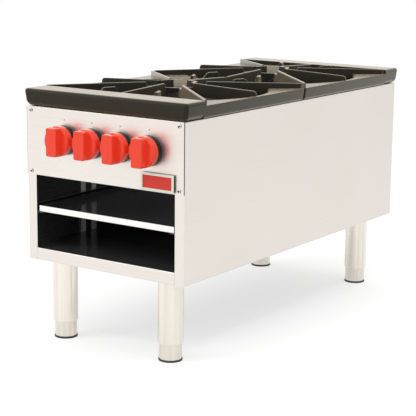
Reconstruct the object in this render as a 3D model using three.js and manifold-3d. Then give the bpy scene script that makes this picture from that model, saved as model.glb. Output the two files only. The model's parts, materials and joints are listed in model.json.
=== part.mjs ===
// Two-burner stock pot range: stainless box on four round legs, two cast-iron top grates.
// Millimetres, +Z up, +X to the viewer's right, the control panel faces -Y.
// The model is drawn with its panel front at y = 0 and the floor at z = 0.
import * as THREE from 'three';
import { mergeVertices } from 'three/addons/utils/BufferGeometryUtils.js';
import Module from 'manifold-3d';

const wasm = await Module();
wasm.setup();

// ---------- driving dimensions ----------
const seam = 0.3;                 // clearance between neighbouring pieces
const sheet = 1.5;                // stainless sheet thickness

const bodyWidth = 457;
const bodyDepth = 997;
const bodyBottom = 193;
const bodyHeight = 369;
const postWidth = 26.5;           // front return of each side panel
const topFlange = 20;             // inward flanges that carry the grates
const bottomFlange = 14;
const rearFlange = 18;
const floorRise = 29.5;           // from the body's lower edge to the top of the base pan
const panelHeight = 162;
const panelReturn = 15;           // depth of the folds along the panel's top and bottom
const panelMargin = 1.5;          // side panels show this much beside the control panel

const screwInset = 13.8;          // from the body's side to a panel screw
const screwLowInset = 8.5;        // from the panel's lower and upper edges
const screwHighInset = 9.5;
const screwHeadRadius = 4.4;
const screwHead = 2.4;
const screwShankRadius = 2;
const screwLength = 11;

const badgeInset = 25;            // from the body's side to the badge
const badgeWidth = 91;
const badgeRise = 2.5;            // above the panel's lower edge
const badgeGap = 12.5;            // between a bezel and the badge
const badgeThickness = 6;
const badgeBorder = 5.5;
const badgeRecess = 1.6;

const knobCount = 4;
const knobInset = 95.9;           // from the body's right side to the last knob
const knobPitch = 81.7;
const knobDrop = 71.5;            // from the body's top to the knobs' axes
const bezelRadius = 35;
const bezelThickness = 13;
const knobRadius = 35.5;
const knobDisc = 16;              // thickness of the round base
const gripReach = 19.5;           // grip in front of the base
const gripWidth = 30;
const gripTaper = 1.2;            // per side
const gripHalfHeight = 33;
const stemRadius = 3;
const stemInKnob = 24;
const stemInValve = 24;
const valveRadius = 12;
const valveLength = 37;
const valveFront = 4.3;
const outletRadius = 7;
const outletHeight = 15;
const outletSetback = 26;         // from the valve's front to its outlet

const pipeRadius = 13.4;          // manifold and inlet pipe
const inletInset = 38.5;          // from the body's right side to the inlet pipe
const inletReach = 21;            // pipe end behind the body
const capOffset = 59.5;           // from the first valve to the manifold's cap
const capRadius = 17;
const capLength = 16;

const frontOverhang = 3;          // the castings' reach in front of and behind the body
const rearOverhang = 4;
const grateGap = 1;
const grateOverhang = 7.5;        // beyond the body's sides
const grateDraft = 5;             // sides lean in by this towards the bottom
const grateEndDraft = 3;
const ledgeRise = 40.7;           // this and the rises below are above the casting's foot
const ledgeDepth = 73;
const rimRise = 29.7;
const rimPlate = 8;
const grateWall = 8;
const openingMargin = 12;         // from the round opening to the casting's side
const grateCorner = 8;
const ledgeEdge = 10;
const finThickness = 8;
const cornerRise = 41.4;
const hubRise = 47.7;
const rootRise = 15.7;
const finEndRise = 13.7;
const sideFinEnd = 8;             // from its outer end to where a side fin starts to drop
const finInset = 7;               // from the casting's side to the fins' outer ends
const hubFlats = 96;
const hubTaper = 3;
const hubWall = 7;
const hubHeight = 21;
const hubLowering = 10;           // the hub's wall is lower by this on the side of the control panel
const axisFinStart = 50;          // from the hub's middle to where a fin stands at full height
const cornerFinStart = 73;
const fingerInset = 8.25;         // from the field's edge to a finger's outer shoulder
const fingerLength = 40;
const fingerRise = 44.7;
const fingerAngles = [67.5, 112.5];

const barWidth = 30;
const barHeight = 26.5;

const shieldSetback = 95;
const shieldLowGap = 2;           // above the control panel's lower edge
const shieldHighGap = 6;          // below the body's top

const railOffset = 75;
const railLeg = 18;
const railSeat = 20;
const railSheet = 2.5;
const railDrop = 27.3;            // below the body's top

const outerRingInner = 52;
const outerRingOuter = 78;
const ringHeight = 21;
const innerRingInner = 18;
const innerRingOuter = 38;
const ringChamfer = 5;
const lugThickness = 6;
const lugWidth = 12;
const outerTubeX = -35;
const innerTubeX = 24;
const tubeRadius = 13;
const tubeBore = 9;
const tubeMouth = 18;
const tubeDrop = 14;              // from the ring's foot to the mixing tube's axis
const mouthGap = 39.25;           // from the heat shield to the front burner's mixing tubes
const boreDepth = 60;

const supplyRadius = 4;
const supplyHighRise = 24.5;      // above the knobs' axes
const supplyLowRise = 14.5;
const supplyBend = 8;
const supplyClear = 5;            // behind the manifold's axis, where a tube turns back
const shieldClear = 10;           // straight run behind the heat shield
const dropRun = 40;
const crossRun = 80;              // length of the sideways run to a rear burner
const nozzleRise = 30;            // where a rear tube starts to climb, in front of its nozzle
const nozzleLength = 8;
const nozzleGap = 6;
const pilotRadius = 2.5;
const pilotTipRadius = 4;
const pilotTip = 14;
const pilotRise = 6;              // above the outer ring
const pilotBend = 6;
const pilotApproach = 17;         // from the tip's top to the tube beside the burner
const pilotRamp = 25;
const pilotRampStart = 60;
const pilotClear = 10;            // from the outer ring to the pilot's axis

const stiffenerBase = 1.2;
const ribHeight = 2.8;
const ribStarts = [190, 231];
const ribWidth = 18;
const stiffenerDrop = 22;         // below the body's top

const traySideGap = 23.9;         // from a runner's wall to the tray
const trayFront = 5.5;
const trayRearGap = 28.7;         // from the tray to the back panel
const trayRise = 88.5;            // above the base pan
const trayHeight = 14.5;
const trayWall = 1.5;
const runnerShelf = 36;
const runnerLip = 14;
const runnerClear = 2;

const legInset = 71.7;            // from the body's side
const legFront = 50;
const legRearInset = 64;
const legRadius = 30;
const legWall = 1.6;
const legEnd = 42;
const collar = 9;
const plateSize = 88;
const plateThickness = 3;
const footRadius = 26.5;
const footEngaged = 26;
const padRadius = 28;
const padHeight = 5;

// ---------- sizes that follow from them ----------
const half = bodyWidth / 2;
const postFront = sheet + seam;
const inside = half - sheet;
const backInner = bodyDepth - sheet - seam - sheet;
const bodyTop = bodyBottom + bodyHeight;
const cavityFloor = bodyBottom + floorRise;
const panelBottom = bodyTop - panelHeight;
const screwLow = panelBottom + screwLowInset;
const screwHigh = bodyTop - screwHighInset;
const badgeLeft = half - badgeInset - badgeWidth;
const badgeBottom = panelBottom + badgeRise;
const knobHeight = bodyTop - knobDrop;
const badgeHeight = knobHeight - bezelRadius - badgeGap - badgeBottom;
const inletOffset = half - inletInset;
const supplyHigh = knobHeight + supplyHighRise;
const supplyLow = knobHeight + supplyLowRise;
const railTop = bodyTop - railDrop;
const runnerOuter = inside - stiffenerBase - ribHeight - 2 * seam;
const trayHalf = runnerOuter - sheet - traySideGap;
const trayBottom = cavityFloor + trayRise;
const trayBack = backInner - trayRearGap;
const legOffsetX = half - legInset;
const grateBottom = bodyTop + seam;
const grateTopHalf = half + grateOverhang;
const openingRadius = grateTopHalf - openingMargin;
const ledgeTop = grateBottom + ledgeRise;
const rimTop = grateBottom + rimRise;
const finCornerTop = grateBottom + cornerRise;
const finHubTop = grateBottom + hubRise;
const finRootBottom = grateBottom + rootRise;
const hubLowTop = finHubTop - hubLowering;
const finRimBottom = grateBottom + finEndRise;
const fingerTop = grateBottom + fingerRise;
const grateFront = -frontOverhang;
const grateBack = bodyDepth + rearOverhang;
const castingLength = (grateBack - grateFront - grateGap) / 2;
const fieldHalf = (castingLength - ledgeDepth) / 2;
const fingerOuter = fieldHalf - fingerInset;
const fingerInner = fingerOuter - fingerLength;
const frontCentre = grateFront + ledgeDepth + fieldHalf;
const rearCentre = grateBack - ledgeDepth - fieldHalf;
const splitLine = (grateFront + grateBack) / 2;
const mouthReach = frontCentre - shieldSetback - mouthGap;
const knobBack = -(seam + bezelThickness + seam);
const knobFront = knobBack - knobDisc - gripReach;
const pipeSetback = valveFront + valveLength + seam + pipeRadius;
const ringBottom = railTop + seam;
const tubeHeight = ringBottom - tubeDrop;
const pilotTop = ringBottom + ringHeight + pilotRise;
const knobX = index => half - knobInset - (knobCount - 1 - index) * knobPitch;
const manifoldStart = knobX(0) - capOffset;
const valveOutletY = valveFront + outletSetback;

// ---------- finishes ----------
const steel = new THREE.MeshStandardMaterial({ color: 0xd8d4ce, roughness: 0.35, metalness: 1 });
const darkSteel = new THREE.MeshStandardMaterial({ color: 0x77767a, roughness: 0.45, metalness: 1 });
const castIron = new THREE.MeshStandardMaterial({ color: 0x3b3a36, roughness: 0.5, metalness: 0.3 });
const redPlastic = new THREE.MeshStandardMaterial({ color: 0xf03a20, roughness: 0.4, metalness: 0 });
const blackPlastic = new THREE.MeshStandardMaterial({ color: 0x16171a, roughness: 0.45, metalness: 0 });
const paleMetal = new THREE.MeshStandardMaterial({ color: 0xb9beb0, roughness: 0.5, metalness: 0.4 });
const brass = new THREE.MeshStandardMaterial({ color: 0xb8913f, roughness: 0.35, metalness: 1 });
const pipeBlack = new THREE.MeshStandardMaterial({ color: 0x2a2b2e, roughness: 0.6, metalness: 0.6 });
const tubeAlloy = new THREE.MeshStandardMaterial({ color: 0xaeb1b4, roughness: 0.4, metalness: 1 });

// ---------- shape helpers ----------
function block(x, y, z) {
  const geometry = new THREE.BoxGeometry(x[1] - x[0], y[1] - y[0], z[1] - z[0]);
  return geometry.translate((x[0] + x[1]) / 2, (y[0] + y[1]) / 2, (z[0] + z[1]) / 2);
}

function toSolid(geometry) {
  const bare = new THREE.BufferGeometry();
  bare.setAttribute('position', geometry.getAttribute('position').clone());
  if (geometry.index) bare.setIndex(geometry.index.clone());
  const merged = mergeVertices(bare, 1e-4);
  const corners = merged.index.array;
  const faces = [];
  for (let i = 0; i < corners.length; i += 3) {
    const [a, b, c] = corners.slice(i, i + 3);
    if (a !== b && b !== c && c !== a) faces.push(a, b, c);
  }
  return new wasm.Manifold(new wasm.Mesh({
    numProp: 3,
    vertProperties: Float32Array.from(merged.getAttribute('position').array),
    triVerts: Uint32Array.from(faces),
  }));
}

function toGeometry(solid) {
  const mesh = solid.getMesh();
  const geometry = new THREE.BufferGeometry();
  geometry.setAttribute('position', new THREE.BufferAttribute(mesh.vertProperties, 3));
  geometry.setIndex(new THREE.BufferAttribute(mesh.triVerts, 1));
  geometry.computeVertexNormals();
  return geometry;
}

const join = (...pieces) => toGeometry(pieces.map(toSolid).reduce((a, b) => a.add(b)));
const cut = (piece, ...tools) => toGeometry(tools.map(toSolid).reduce((a, b) => a.subtract(b), toSolid(piece)));
const common = (a, b) => toGeometry(toSolid(a).intersect(toSolid(b)));

// A round bar between two heights, along Z, Y or X.
function rodZ(radius, x, y, z0, z1, sides = 20) {
  const geometry = new THREE.CylinderGeometry(radius, radius, z1 - z0, sides);
  return geometry.rotateX(Math.PI / 2).translate(x, y, (z0 + z1) / 2);
}
function rodY(radius, x, y0, y1, z, sides = 20) {
  const geometry = new THREE.CylinderGeometry(radius, radius, y1 - y0, sides);
  return geometry.translate(x, (y0 + y1) / 2, z);
}
function rodX(radius, x0, x1, y, z, sides = 20) {
  const geometry = new THREE.CylinderGeometry(radius, radius, x1 - x0, sides);
  return geometry.rotateZ(Math.PI / 2).translate((x0 + x1) / 2, y, z);
}

// A closed profile of [radius, height] points turned about the Y axis, or about Z.
// Its faces point outwards when the profile runs anticlockwise.
function turned(profile, sides = 28) {
  const points = profile.map(([r, h]) => new THREE.Vector2(r, h));
  if (THREE.ShapeUtils.isClockWise(points)) points.reverse();
  return new THREE.LatheGeometry(points, sides);
}
const turnedZ = (profile, sides) => turned(profile, sides).rotateX(Math.PI / 2);

// A path through given stations, each of which becomes one ring of a tube.
class StationPath extends THREE.Curve {
  constructor(stations) {
    super();
    this.stations = stations;
  }
  getPoint(t) {
    const place = Math.min(Math.max(t, 0), 1) * (this.stations.length - 1);
    const index = Math.min(Math.floor(place), this.stations.length - 2);
    return this.stations[index].clone().lerp(this.stations[index + 1], place - index);
  }
  getUtoTmapping(u) {
    return u;
  }
}

// A round bar along hand-set points, with a rounded bend at each inner one.
function bentTube(radius, points, bend) {
  const sides = 8;
  const bendSteps = 4;
  const corners = points.map(p => new THREE.Vector3(...p));
  const stations = [corners[0]];
  for (let i = 1; i < corners.length - 1; i += 1) {
    const corner = corners[i];
    const before = corner.clone().sub(corners[i - 1]);
    const after = corners[i + 1].clone().sub(corner);
    const reach = Math.min(bend, before.length() / 2.1, after.length() / 2.1);
    const enter = corner.clone().addScaledVector(before.normalize(), -reach);
    const leave = corner.clone().addScaledVector(after.normalize(), reach);
    stations.push(...new THREE.QuadraticBezierCurve3(enter, corner, leave).getPoints(bendSteps));
  }
  stations.push(corners[corners.length - 1]);
  const outline = new THREE.Shape();
  outline.absarc(0, 0, radius, 0, 2 * Math.PI);
  return new THREE.ExtrudeGeometry(outline, {
    steps: stations.length - 1,
    curveSegments: sides / 2,
    bevelEnabled: false,
    extrudePath: new StationPath(stations),
  });
}

// An upright plate: its outline is given as [distance, height] and it stands at an angle about the origin.
function standingPlate(outline, thickness, degrees) {
  const shape = new THREE.Shape(outline.map(([r, h]) => new THREE.Vector2(r, h)));
  const geometry = new THREE.ExtrudeGeometry(shape, { depth: thickness, bevelEnabled: false });
  geometry.translate(0, 0, -thickness / 2).rotateX(Math.PI / 2);
  return geometry.rotateZ(THREE.MathUtils.degToRad(degrees));
}

const range = new THREE.Group();

function add(name, geometry, material, parent = range) {
  const mesh = new THREE.Mesh(geometry, material);
  mesh.name = name;
  parent.add(mesh);
  return mesh;
}

// ---------- body shell ----------
function sidePanel(side) {
  const across = (from, to) => (side > 0 ? [half - from, half - to] : [to - half, from - half]);
  return join(
    block(across(sheet, 0), [postFront, bodyDepth], [bodyBottom, bodyTop]),
    block(across(postWidth, 0), [postFront, postFront + sheet], [bodyBottom, bodyTop]),
    block(across(topFlange, 0), [postFront, bodyDepth], [bodyTop - sheet, bodyTop]),
    block(across(bottomFlange, 0), [postFront, bodyDepth], [bodyBottom, bodyBottom + sheet]),
    block(across(rearFlange, 0), [bodyDepth - sheet, bodyDepth], [bodyBottom, bodyTop]),
  );
}

const screwPlaces = [
  ['upper_left', -1, screwHigh],
  ['upper_right', 1, screwHigh],
  ['lower_left', -1, screwLow],
  ['lower_right', 1, screwLow],
];
const screwHole = (side, height) =>
  rodY(screwShankRadius + seam, side * (half - screwInset), -1, postFront + 2 * sheet, height, 12);
const screwHoles = side => screwPlaces.filter(p => p[1] === side).map(p => screwHole(side, p[2]));

add('left_side_panel', cut(sidePanel(-1), ...screwHoles(-1)), steel);
add('right_side_panel', cut(sidePanel(1), ...screwHoles(1)), steel);

function backPanel() {
  const width = inside - seam;
  const plate = block([-width, width], [backInner, backInner + sheet],
    [bodyBottom + sheet + seam, bodyTop - sheet - seam]);
  const slotLength = 90;
  const slotHeight = 8;
  const slotPitch = 20;
  const slots = [];
  for (const column of [-1, 0, 1]) {
    for (let row = 0; row < 5; row += 1) {
      const x = column * slotLength * 1.3;
      const z = cavityFloor + 40 + row * slotPitch;
      slots.push(block([x - slotLength / 2, x + slotLength / 2],
        [backInner - 1, backInner + sheet + 1], [z, z + slotHeight]));
    }
  }
  const pipeHole = rodY(pipeRadius + seam, inletOffset, backInner - 1, backInner + sheet + 1, knobHeight);
  return cut(plate, pipeHole, ...slots);
}
add('back_panel', backPanel(), steel);

function basePan() {
  const opening = half - postWidth - seam;
  const edge = inside - seam;
  const floorFront = postFront + sheet + seam;
  const floorBack = backInner - seam;
  const skirtDrop = cavityFloor - bodyBottom - sheet - seam;
  return join(
    block([-edge, edge], [floorFront, floorBack], [cavityFloor - sheet, cavityFloor]),
    block([-opening, opening], [postFront, floorFront + sheet], [cavityFloor - sheet, cavityFloor]),
    block([-opening, opening], [postFront, postFront + sheet], [bodyBottom, cavityFloor]),
    block([-opening, opening], [postFront, postFront + 10], [bodyBottom, bodyBottom + sheet]),
    block([-edge, sheet - edge], [floorFront, floorBack], [cavityFloor - skirtDrop, cavityFloor]),
    block([edge - sheet, edge], [floorFront, floorBack], [cavityFloor - skirtDrop, cavityFloor]),
    block([-edge, edge], [floorBack - sheet, floorBack], [cavityFloor - skirtDrop, cavityFloor]),
  );
}
add('base_pan', basePan(), steel);

function controlPanel() {
  const edge = half - panelMargin;
  const fold = half - postWidth - seam;
  const panel = join(
    block([-edge, edge], [0, sheet], [panelBottom, bodyTop]),
    block([-fold, fold], [0, panelReturn], [panelBottom, panelBottom + sheet]),
    block([-fold, fold], [0, panelReturn], [bodyTop - sheet, bodyTop]),
  );
  const stemHoles = Array.from({ length: knobCount }, (_, i) =>
    rodY(stemRadius + 3, knobX(i), -1, sheet + 1, knobHeight));
  return cut(panel, ...stemHoles, ...screwHoles(-1), ...screwHoles(1));
}
add('control_panel', controlPanel(), steel);

function panelScrew() {
  const bottom = -seam;
  const dome = turned([
    [0, bottom], [screwHeadRadius, bottom], [screwHeadRadius, bottom - screwHead * 0.45],
    [screwHeadRadius * 0.7, bottom - screwHead], [0, bottom - screwHead],
  ], 12);
  const shank = rodY(screwShankRadius, 0, bottom - 1, bottom + screwLength, 0, 8);
  return join(dome, shank);
}
for (const [place, side, height] of screwPlaces) {
  add(`panel_screw_${place}`, panelScrew(), darkSteel).position.set(side * (half - screwInset), 0, height);
}

// ---------- badge place, left bare ----------
function badgeFrame() {
  const x = [badgeLeft, badgeLeft + badgeWidth];
  const z = [badgeBottom, badgeBottom + badgeHeight];
  const front = -seam - badgeThickness;
  const inner = block([x[0] + badgeBorder, x[1] - badgeBorder], [front - 1, front + badgeRecess],
    [z[0] + badgeBorder, z[1] - badgeBorder]);
  return cut(block(x, [front, -seam], z), inner);
}
function badgeFace() {
  const back = -seam - badgeThickness + badgeRecess - seam;
  const margin = badgeBorder + seam;
  return block([badgeLeft + margin, badgeLeft + badgeWidth - margin], [back - 1, back],
    [badgeBottom + margin, badgeBottom + badgeHeight - margin]);
}
add('badge_frame', badgeFrame(), paleMetal);
add('badge_face', badgeFace(), redPlastic);

// ---------- knobs, stems and valves ----------
const discEdge = 2.5;
const discFront = knobBack - knobDisc;

function knob() {
  const disc = turned([
    [0, knobBack], [knobRadius - 1, knobBack], [knobRadius, knobBack - 1],
    [knobRadius, discFront + 2 * discEdge], [knobRadius - discEdge, discFront + discEdge / 2],
    [knobRadius - 2.4 * discEdge, discFront], [0, discFront],
  ], 36);
  const grip = block([-gripWidth / 2, gripWidth / 2], [knobFront, discFront + 1],
    [-gripHalfHeight, gripHalfHeight]);
  const place = grip.getAttribute('position');
  for (let i = 0; i < place.count; i += 1) {
    if (place.getY(i) < discFront) place.setX(i, place.getX(i) - Math.sign(place.getX(i)) * gripTaper);
  }
  const bore = rodY(stemRadius + seam, 0, knobBack - stemInKnob - seam, knobBack + 1, 0, 12);
  return cut(join(disc, grip), bore);
}
function bezel() {
  const bore = stemRadius + 3;
  const front = -seam - bezelThickness;
  return turned([
    [bore, -seam], [bezelRadius, -seam], [bezelRadius, front + 2],
    [bezelRadius - 2, front], [bore, front], [bore, -seam],
  ], 32);
}
function gasValve() {
  const body = rodY(valveRadius, 0, valveFront, valveFront + valveLength, 0, 24);
  const outlet = rodZ(outletRadius, 0, valveOutletY, 0, outletHeight, 16);
  const bore = rodY(stemRadius + seam, 0, valveFront - 1, valveFront + stemInValve + seam, 0, 12);
  return cut(join(body, outlet), bore);
}
const stem = () => rodY(stemRadius, 0, knobBack - stemInKnob, valveFront + stemInValve, 0, 12);

for (let i = 0; i < knobCount; i += 1) {
  const station = new THREE.Group();
  station.position.set(knobX(i), 0, knobHeight);
  range.add(station);
  add(`knob_${i + 1}`, knob(), redPlastic, station);
  add(`knob_bezel_${i + 1}`, bezel(), blackPlastic, station);
  add(`valve_stem_${i + 1}`, stem(), brass, station);
  add(`gas_valve_${i + 1}`, gasValve(), brass, station);
}

// ---------- gas pipes ----------
function manifold() {
  const pipe = rodX(pipeRadius, manifoldStart, inletOffset, pipeSetback, knobHeight);
  const cap = rodX(capRadius, manifoldStart - capLength / 2, manifoldStart + capLength / 2,
    pipeSetback, knobHeight, 8);
  const knuckle = new THREE.SphereGeometry(capRadius, 16, 10).translate(inletOffset, pipeSetback, knobHeight);
  const collarX = rodX(capRadius, inletOffset - 1.5 * capRadius, inletOffset, pipeSetback, knobHeight);
  const collarY = rodY(capRadius, inletOffset, pipeSetback, pipeSetback + 1.5 * capRadius, knobHeight);
  return join(pipe, cap, knuckle, collarX, collarY);
}
const inletStart = pipeSetback + 1.5 * capRadius + seam;
function inletPipe() {
  const end = bodyDepth + inletReach;
  const bore = rodY(pipeRadius - 3, inletOffset, end - 30, end + 1, knobHeight, 20);
  return cut(rodY(pipeRadius, inletOffset, inletStart, end, knobHeight), bore);
}
add('gas_manifold', manifold(), pipeBlack);
add('gas_inlet_pipe', inletPipe(), pipeBlack);

const outletTop = knobHeight + outletHeight + seam;
const overPipe = pipeSetback + supplyClear;
const behindShield = shieldSetback + shieldClear;

// Each valve feeds one mixing tube: the outer pair the rear burner, the inner pair the front one.
const feeds = [
  { name: 'rear_outer', valve: 0, x: outerTubeX, centre: rearCentre },
  { name: 'front_outer', valve: 1, x: outerTubeX, centre: frontCentre },
  { name: 'front_inner', valve: 2, x: innerTubeX, centre: frontCentre },
  { name: 'rear_inner', valve: 3, x: innerTubeX, centre: rearCentre },
];
function supplyTube({ valve, x, centre }) {
  const start = knobX(valve);
  const nozzle = centre - mouthReach - nozzleGap;
  const head = [[start, valveOutletY, outletTop], [start, valveOutletY, supplyHigh], [start, overPipe, supplyHigh]];
  if (centre === frontCentre) {
    return bentTube(supplyRadius,
      [...head, [start, behindShield, supplyHigh], [x, nozzle - nozzleLength, tubeHeight], [x, nozzle, tubeHeight]],
      supplyBend);
  }
  return bentTube(supplyRadius, [
    ...head, [start, behindShield, supplyHigh], [start, behindShield + dropRun, supplyLow],
    [start, nozzle - nozzleRise - crossRun, supplyLow], [x, nozzle - nozzleRise, supplyLow],
    [x, nozzle - nozzleLength, tubeHeight], [x, nozzle, tubeHeight],
  ], supplyBend);
}
for (const feed of feeds) add(`${feed.name}_supply_tube`, supplyTube(feed), tubeAlloy);

const pilotStart = knobHeight + pipeRadius + seam;
const pilotX = { front: -100, rear: -150 };
const pilotReach = outerRingOuter + pilotClear;
function pilot(centre, x) {
  const approach = pilotTop - pilotApproach;
  const risesAt = centre - pilotRampStart;
  const tube = bentTube(pilotRadius, [
    [x, pipeSetback, pilotStart], [x, pipeSetback, supplyHigh], [x, risesAt, supplyHigh],
    [x, risesAt + pilotRamp, approach], [-pilotReach, centre, approach], [-pilotReach, centre, pilotTop - pilotRadius],
  ], pilotBend);
  return join(tube, rodZ(pilotTipRadius, -pilotReach, centre, pilotTop - pilotTip, pilotTop, 14));
}
add('front_pilot_tube', pilot(frontCentre, pilotX.front), tubeAlloy);
add('rear_pilot_tube', pilot(rearCentre, pilotX.rear), tubeAlloy);

// ---------- front heat shield ----------
function heatShield() {
  const plate = block([-runnerOuter, runnerOuter], [shieldSetback, shieldSetback + sheet],
    [panelBottom + shieldLowGap, bodyTop - shieldHighGap]);
  const through = (radius, x, z) =>
    rodY(radius + 1, x, shieldSetback - 1, shieldSetback + sheet + 1, z, 16);
  const holes = feeds.map(feed => through(supplyRadius, knobX(feed.valve), supplyHigh));
  holes.push(through(pilotRadius, pilotX.front, supplyHigh), through(pilotRadius, pilotX.rear, supplyHigh));
  holes.push(through(pipeRadius, inletOffset, knobHeight));
  return cut(plate, ...holes);
}
add('front_heat_shield', heatShield(), steel);

// ---------- burner rails and support bar ----------
function burnerRail(side) {
  const y = [shieldSetback + sheet + seam, backInner - seam];
  const web = [side * railOffset - railSheet / 2, side * railOffset + railSheet / 2];
  return join(
    block([side * railOffset - railSeat / 2, side * railOffset + railSeat / 2], y, [railTop - railSheet, railTop]),
    block(web, y, [railTop - railLeg, railTop]),
  );
}
add('left_burner_rail', burnerRail(-1), darkSteel);
add('right_burner_rail', burnerRail(1), darkSteel);

function supportBar() {
  const y = [splitLine - barWidth / 2, splitLine + barWidth / 2];
  const upper = half - topFlange - seam;
  const edge = runnerOuter;
  const underFlange = bodyTop - sheet - seam;
  const low = bodyTop - barHeight;
  return join(
    block([-upper, upper], y, [bodyTop - 2 * sheet - seam, bodyTop]),
    block([-edge, edge], [y[0], y[0] + sheet], [low, underFlange]),
    block([-edge, edge], [y[1] - sheet, y[1]], [low, underFlange]),
    block([-edge, edge], y, [underFlange - sheet, underFlange]),
  );
}
add('grate_support_bar', supportBar(), steel);

// ---------- burners ----------
function ring(inner, outer) {
  const top = ringBottom + ringHeight;
  return turnedZ([
    [inner, ringBottom], [outer, ringBottom], [outer, top - ringChamfer], [outer - ringChamfer, top],
    [inner + ringChamfer, top], [inner, top - ringChamfer], [inner, ringBottom],
  ], 28);
}
function mixingTube(x, end) {
  const mouth = -mouthReach;
  const flare = tubeMouth - tubeRadius;
  const tube = turned([
    [0, mouth], [tubeMouth, mouth], [tubeMouth, mouth + 4], [tubeRadius, mouth + 4 + 2 * flare],
    [tubeRadius, end], [0, end],
  ], 24);
  const bore = rodY(tubeBore, 0, mouth - 1, mouth + boreDepth, 0, 20);
  return cut(tube, bore).translate(x, 0, tubeHeight);
}
function outerBurner() {
  const radius = (outerRingInner + outerRingOuter) / 2;
  const neckY = -Math.sqrt(radius ** 2 - outerTubeX ** 2);
  const neckRadius = 10;
  return join(
    ring(outerRingInner, outerRingOuter),
    mixingTube(outerTubeX, neckY + neckRadius),
    rodZ(neckRadius, outerTubeX, neckY, tubeHeight, ringBottom + 2, 20),
  );
}
function innerBurner() {
  const radius = (innerRingInner + innerRingOuter) / 2;
  const neckY = -Math.sqrt(radius ** 2 - innerTubeX ** 2);
  const neckRadius = 8;
  const lugs = [90, 210, 330].map(degrees =>
    block([innerRingOuter - 2, outerRingInner - seam - 1], [-lugWidth / 2, lugWidth / 2],
      [ringBottom, ringBottom + lugThickness]).rotateZ(THREE.MathUtils.degToRad(degrees)));
  return join(
    ring(innerRingInner, innerRingOuter),
    mixingTube(innerTubeX, neckY + neckRadius),
    rodZ(neckRadius, innerTubeX, neckY, tubeHeight, ringBottom + 2, 20),
    ...lugs,
  );
}
for (const [name, centre] of [['front', frontCentre], ['rear', rearCentre]]) {
  add(`${name}_outer_burner`, outerBurner(), castIron).position.y = centre;
  add(`${name}_inner_burner`, innerBurner(), castIron).position.y = centre;
}

// ---------- top grates ----------
// Drawn about the middle of the finned field, with the ledge towards -Y.
function grateEnvelope() {
  const top = finHubTop + 2;
  const front = -fieldHalf - ledgeDepth;
  const r = grateCorner;
  const w = grateTopHalf;
  const outline = new THREE.Shape();
  outline.moveTo(-w + r, front);
  outline.lineTo(w - r, front);
  outline.absarc(w - r, front + r, r, -Math.PI / 2, 0);
  outline.lineTo(w, fieldHalf - r / 2);
  outline.absarc(w - r / 2, fieldHalf - r / 2, r / 2, 0, Math.PI / 2);
  outline.lineTo(-w + r / 2, fieldHalf);
  outline.absarc(-w + r / 2, fieldHalf - r / 2, r / 2, Math.PI / 2, Math.PI);
  outline.lineTo(-w, front + r);
  outline.absarc(-w + r, front + r, r, Math.PI, 1.5 * Math.PI);
  const prism = new THREE.ExtrudeGeometry(outline, { depth: top - grateBottom, bevelEnabled: false, curveSegments: 5 });
  prism.translate(0, 0, grateBottom);
  const place = prism.getAttribute('position');
  for (let i = 0; i < place.count; i += 1) {
    const x = place.getX(i);
    const y = place.getY(i);
    const lean = (ledgeTop - place.getZ(i)) / (ledgeTop - grateBottom);
    place.setX(i, x * (1 - lean * grateDraft / grateTopHalf));
    if (y < -fieldHalf) place.setY(i, y * (1 + lean * grateEndDraft / front));
  }
  return prism;
}

function rimAndSkirt() {
  const w = grateTopHalf + 1;
  const front = -fieldHalf - ledgeDepth;
  const hollow = w - 1 - grateDraft - grateWall;
  const rim = block([-w, w], [-fieldHalf - 1, fieldHalf + 1], [grateBottom, rimTop]);
  const under = block([-hollow, hollow], [-fieldHalf, fieldHalf - grateWall], [grateBottom - 1, rimTop - rimPlate]);
  const disc = rodZ(openingRadius, 0, 0, grateBottom - 1, rimTop + 1, 60);
  const limits = block([-w, w], [-fieldHalf + grateWall, fieldHalf - grateWall], [grateBottom - 1, rimTop + 1]);
  const ledgeOutline = new THREE.Shape();
  ledgeOutline.moveTo(front, grateBottom);
  ledgeOutline.lineTo(-fieldHalf, grateBottom);
  ledgeOutline.lineTo(-fieldHalf, ledgeTop);
  ledgeOutline.lineTo(front + ledgeEdge, ledgeTop);
  ledgeOutline.absarc(front + ledgeEdge, ledgeTop - ledgeEdge, ledgeEdge, Math.PI / 2, Math.PI);
  const ledge = new THREE.ExtrudeGeometry(ledgeOutline, { depth: 2 * w, bevelEnabled: false, curveSegments: 6 });
  // Outline (y, z) pushed along x.
  ledge.applyMatrix4(new THREE.Matrix4().makeBasis(
    new THREE.Vector3(0, 1, 0), new THREE.Vector3(0, 0, 1), new THREE.Vector3(1, 0, 0))).translate(-w, 0, 0);
  const ledgeHollow = block([-hollow, hollow], [front + grateEndDraft + grateWall, -fieldHalf - grateWall],
    [grateBottom - 1, ledgeTop - rimPlate]);
  return cut(join(cut(rim, under, common(disc, limits)), ledge), ledgeHollow);
}

function fin(degrees, end, rise, drop) {
  const start = hubFlats / 2 - hubWall;
  const tipTop = drop ? rimTop : finCornerTop;
  const shoulder = drop ? end - sideFinEnd : end;
  const outline = [[start, finRootBottom], [end * 0.62, finRimBottom], [end, finRimBottom], [end, tipTop]];
  if (drop) outline.push([end - 0.2 * sideFinEnd, finCornerTop - 0.5 * sideFinEnd]);
  outline.push([shoulder, finCornerTop], [rise, finHubTop], [rise, hubLowTop], [start, hubLowTop]);
  return standingPlate(outline, finThickness, degrees);
}

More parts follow.
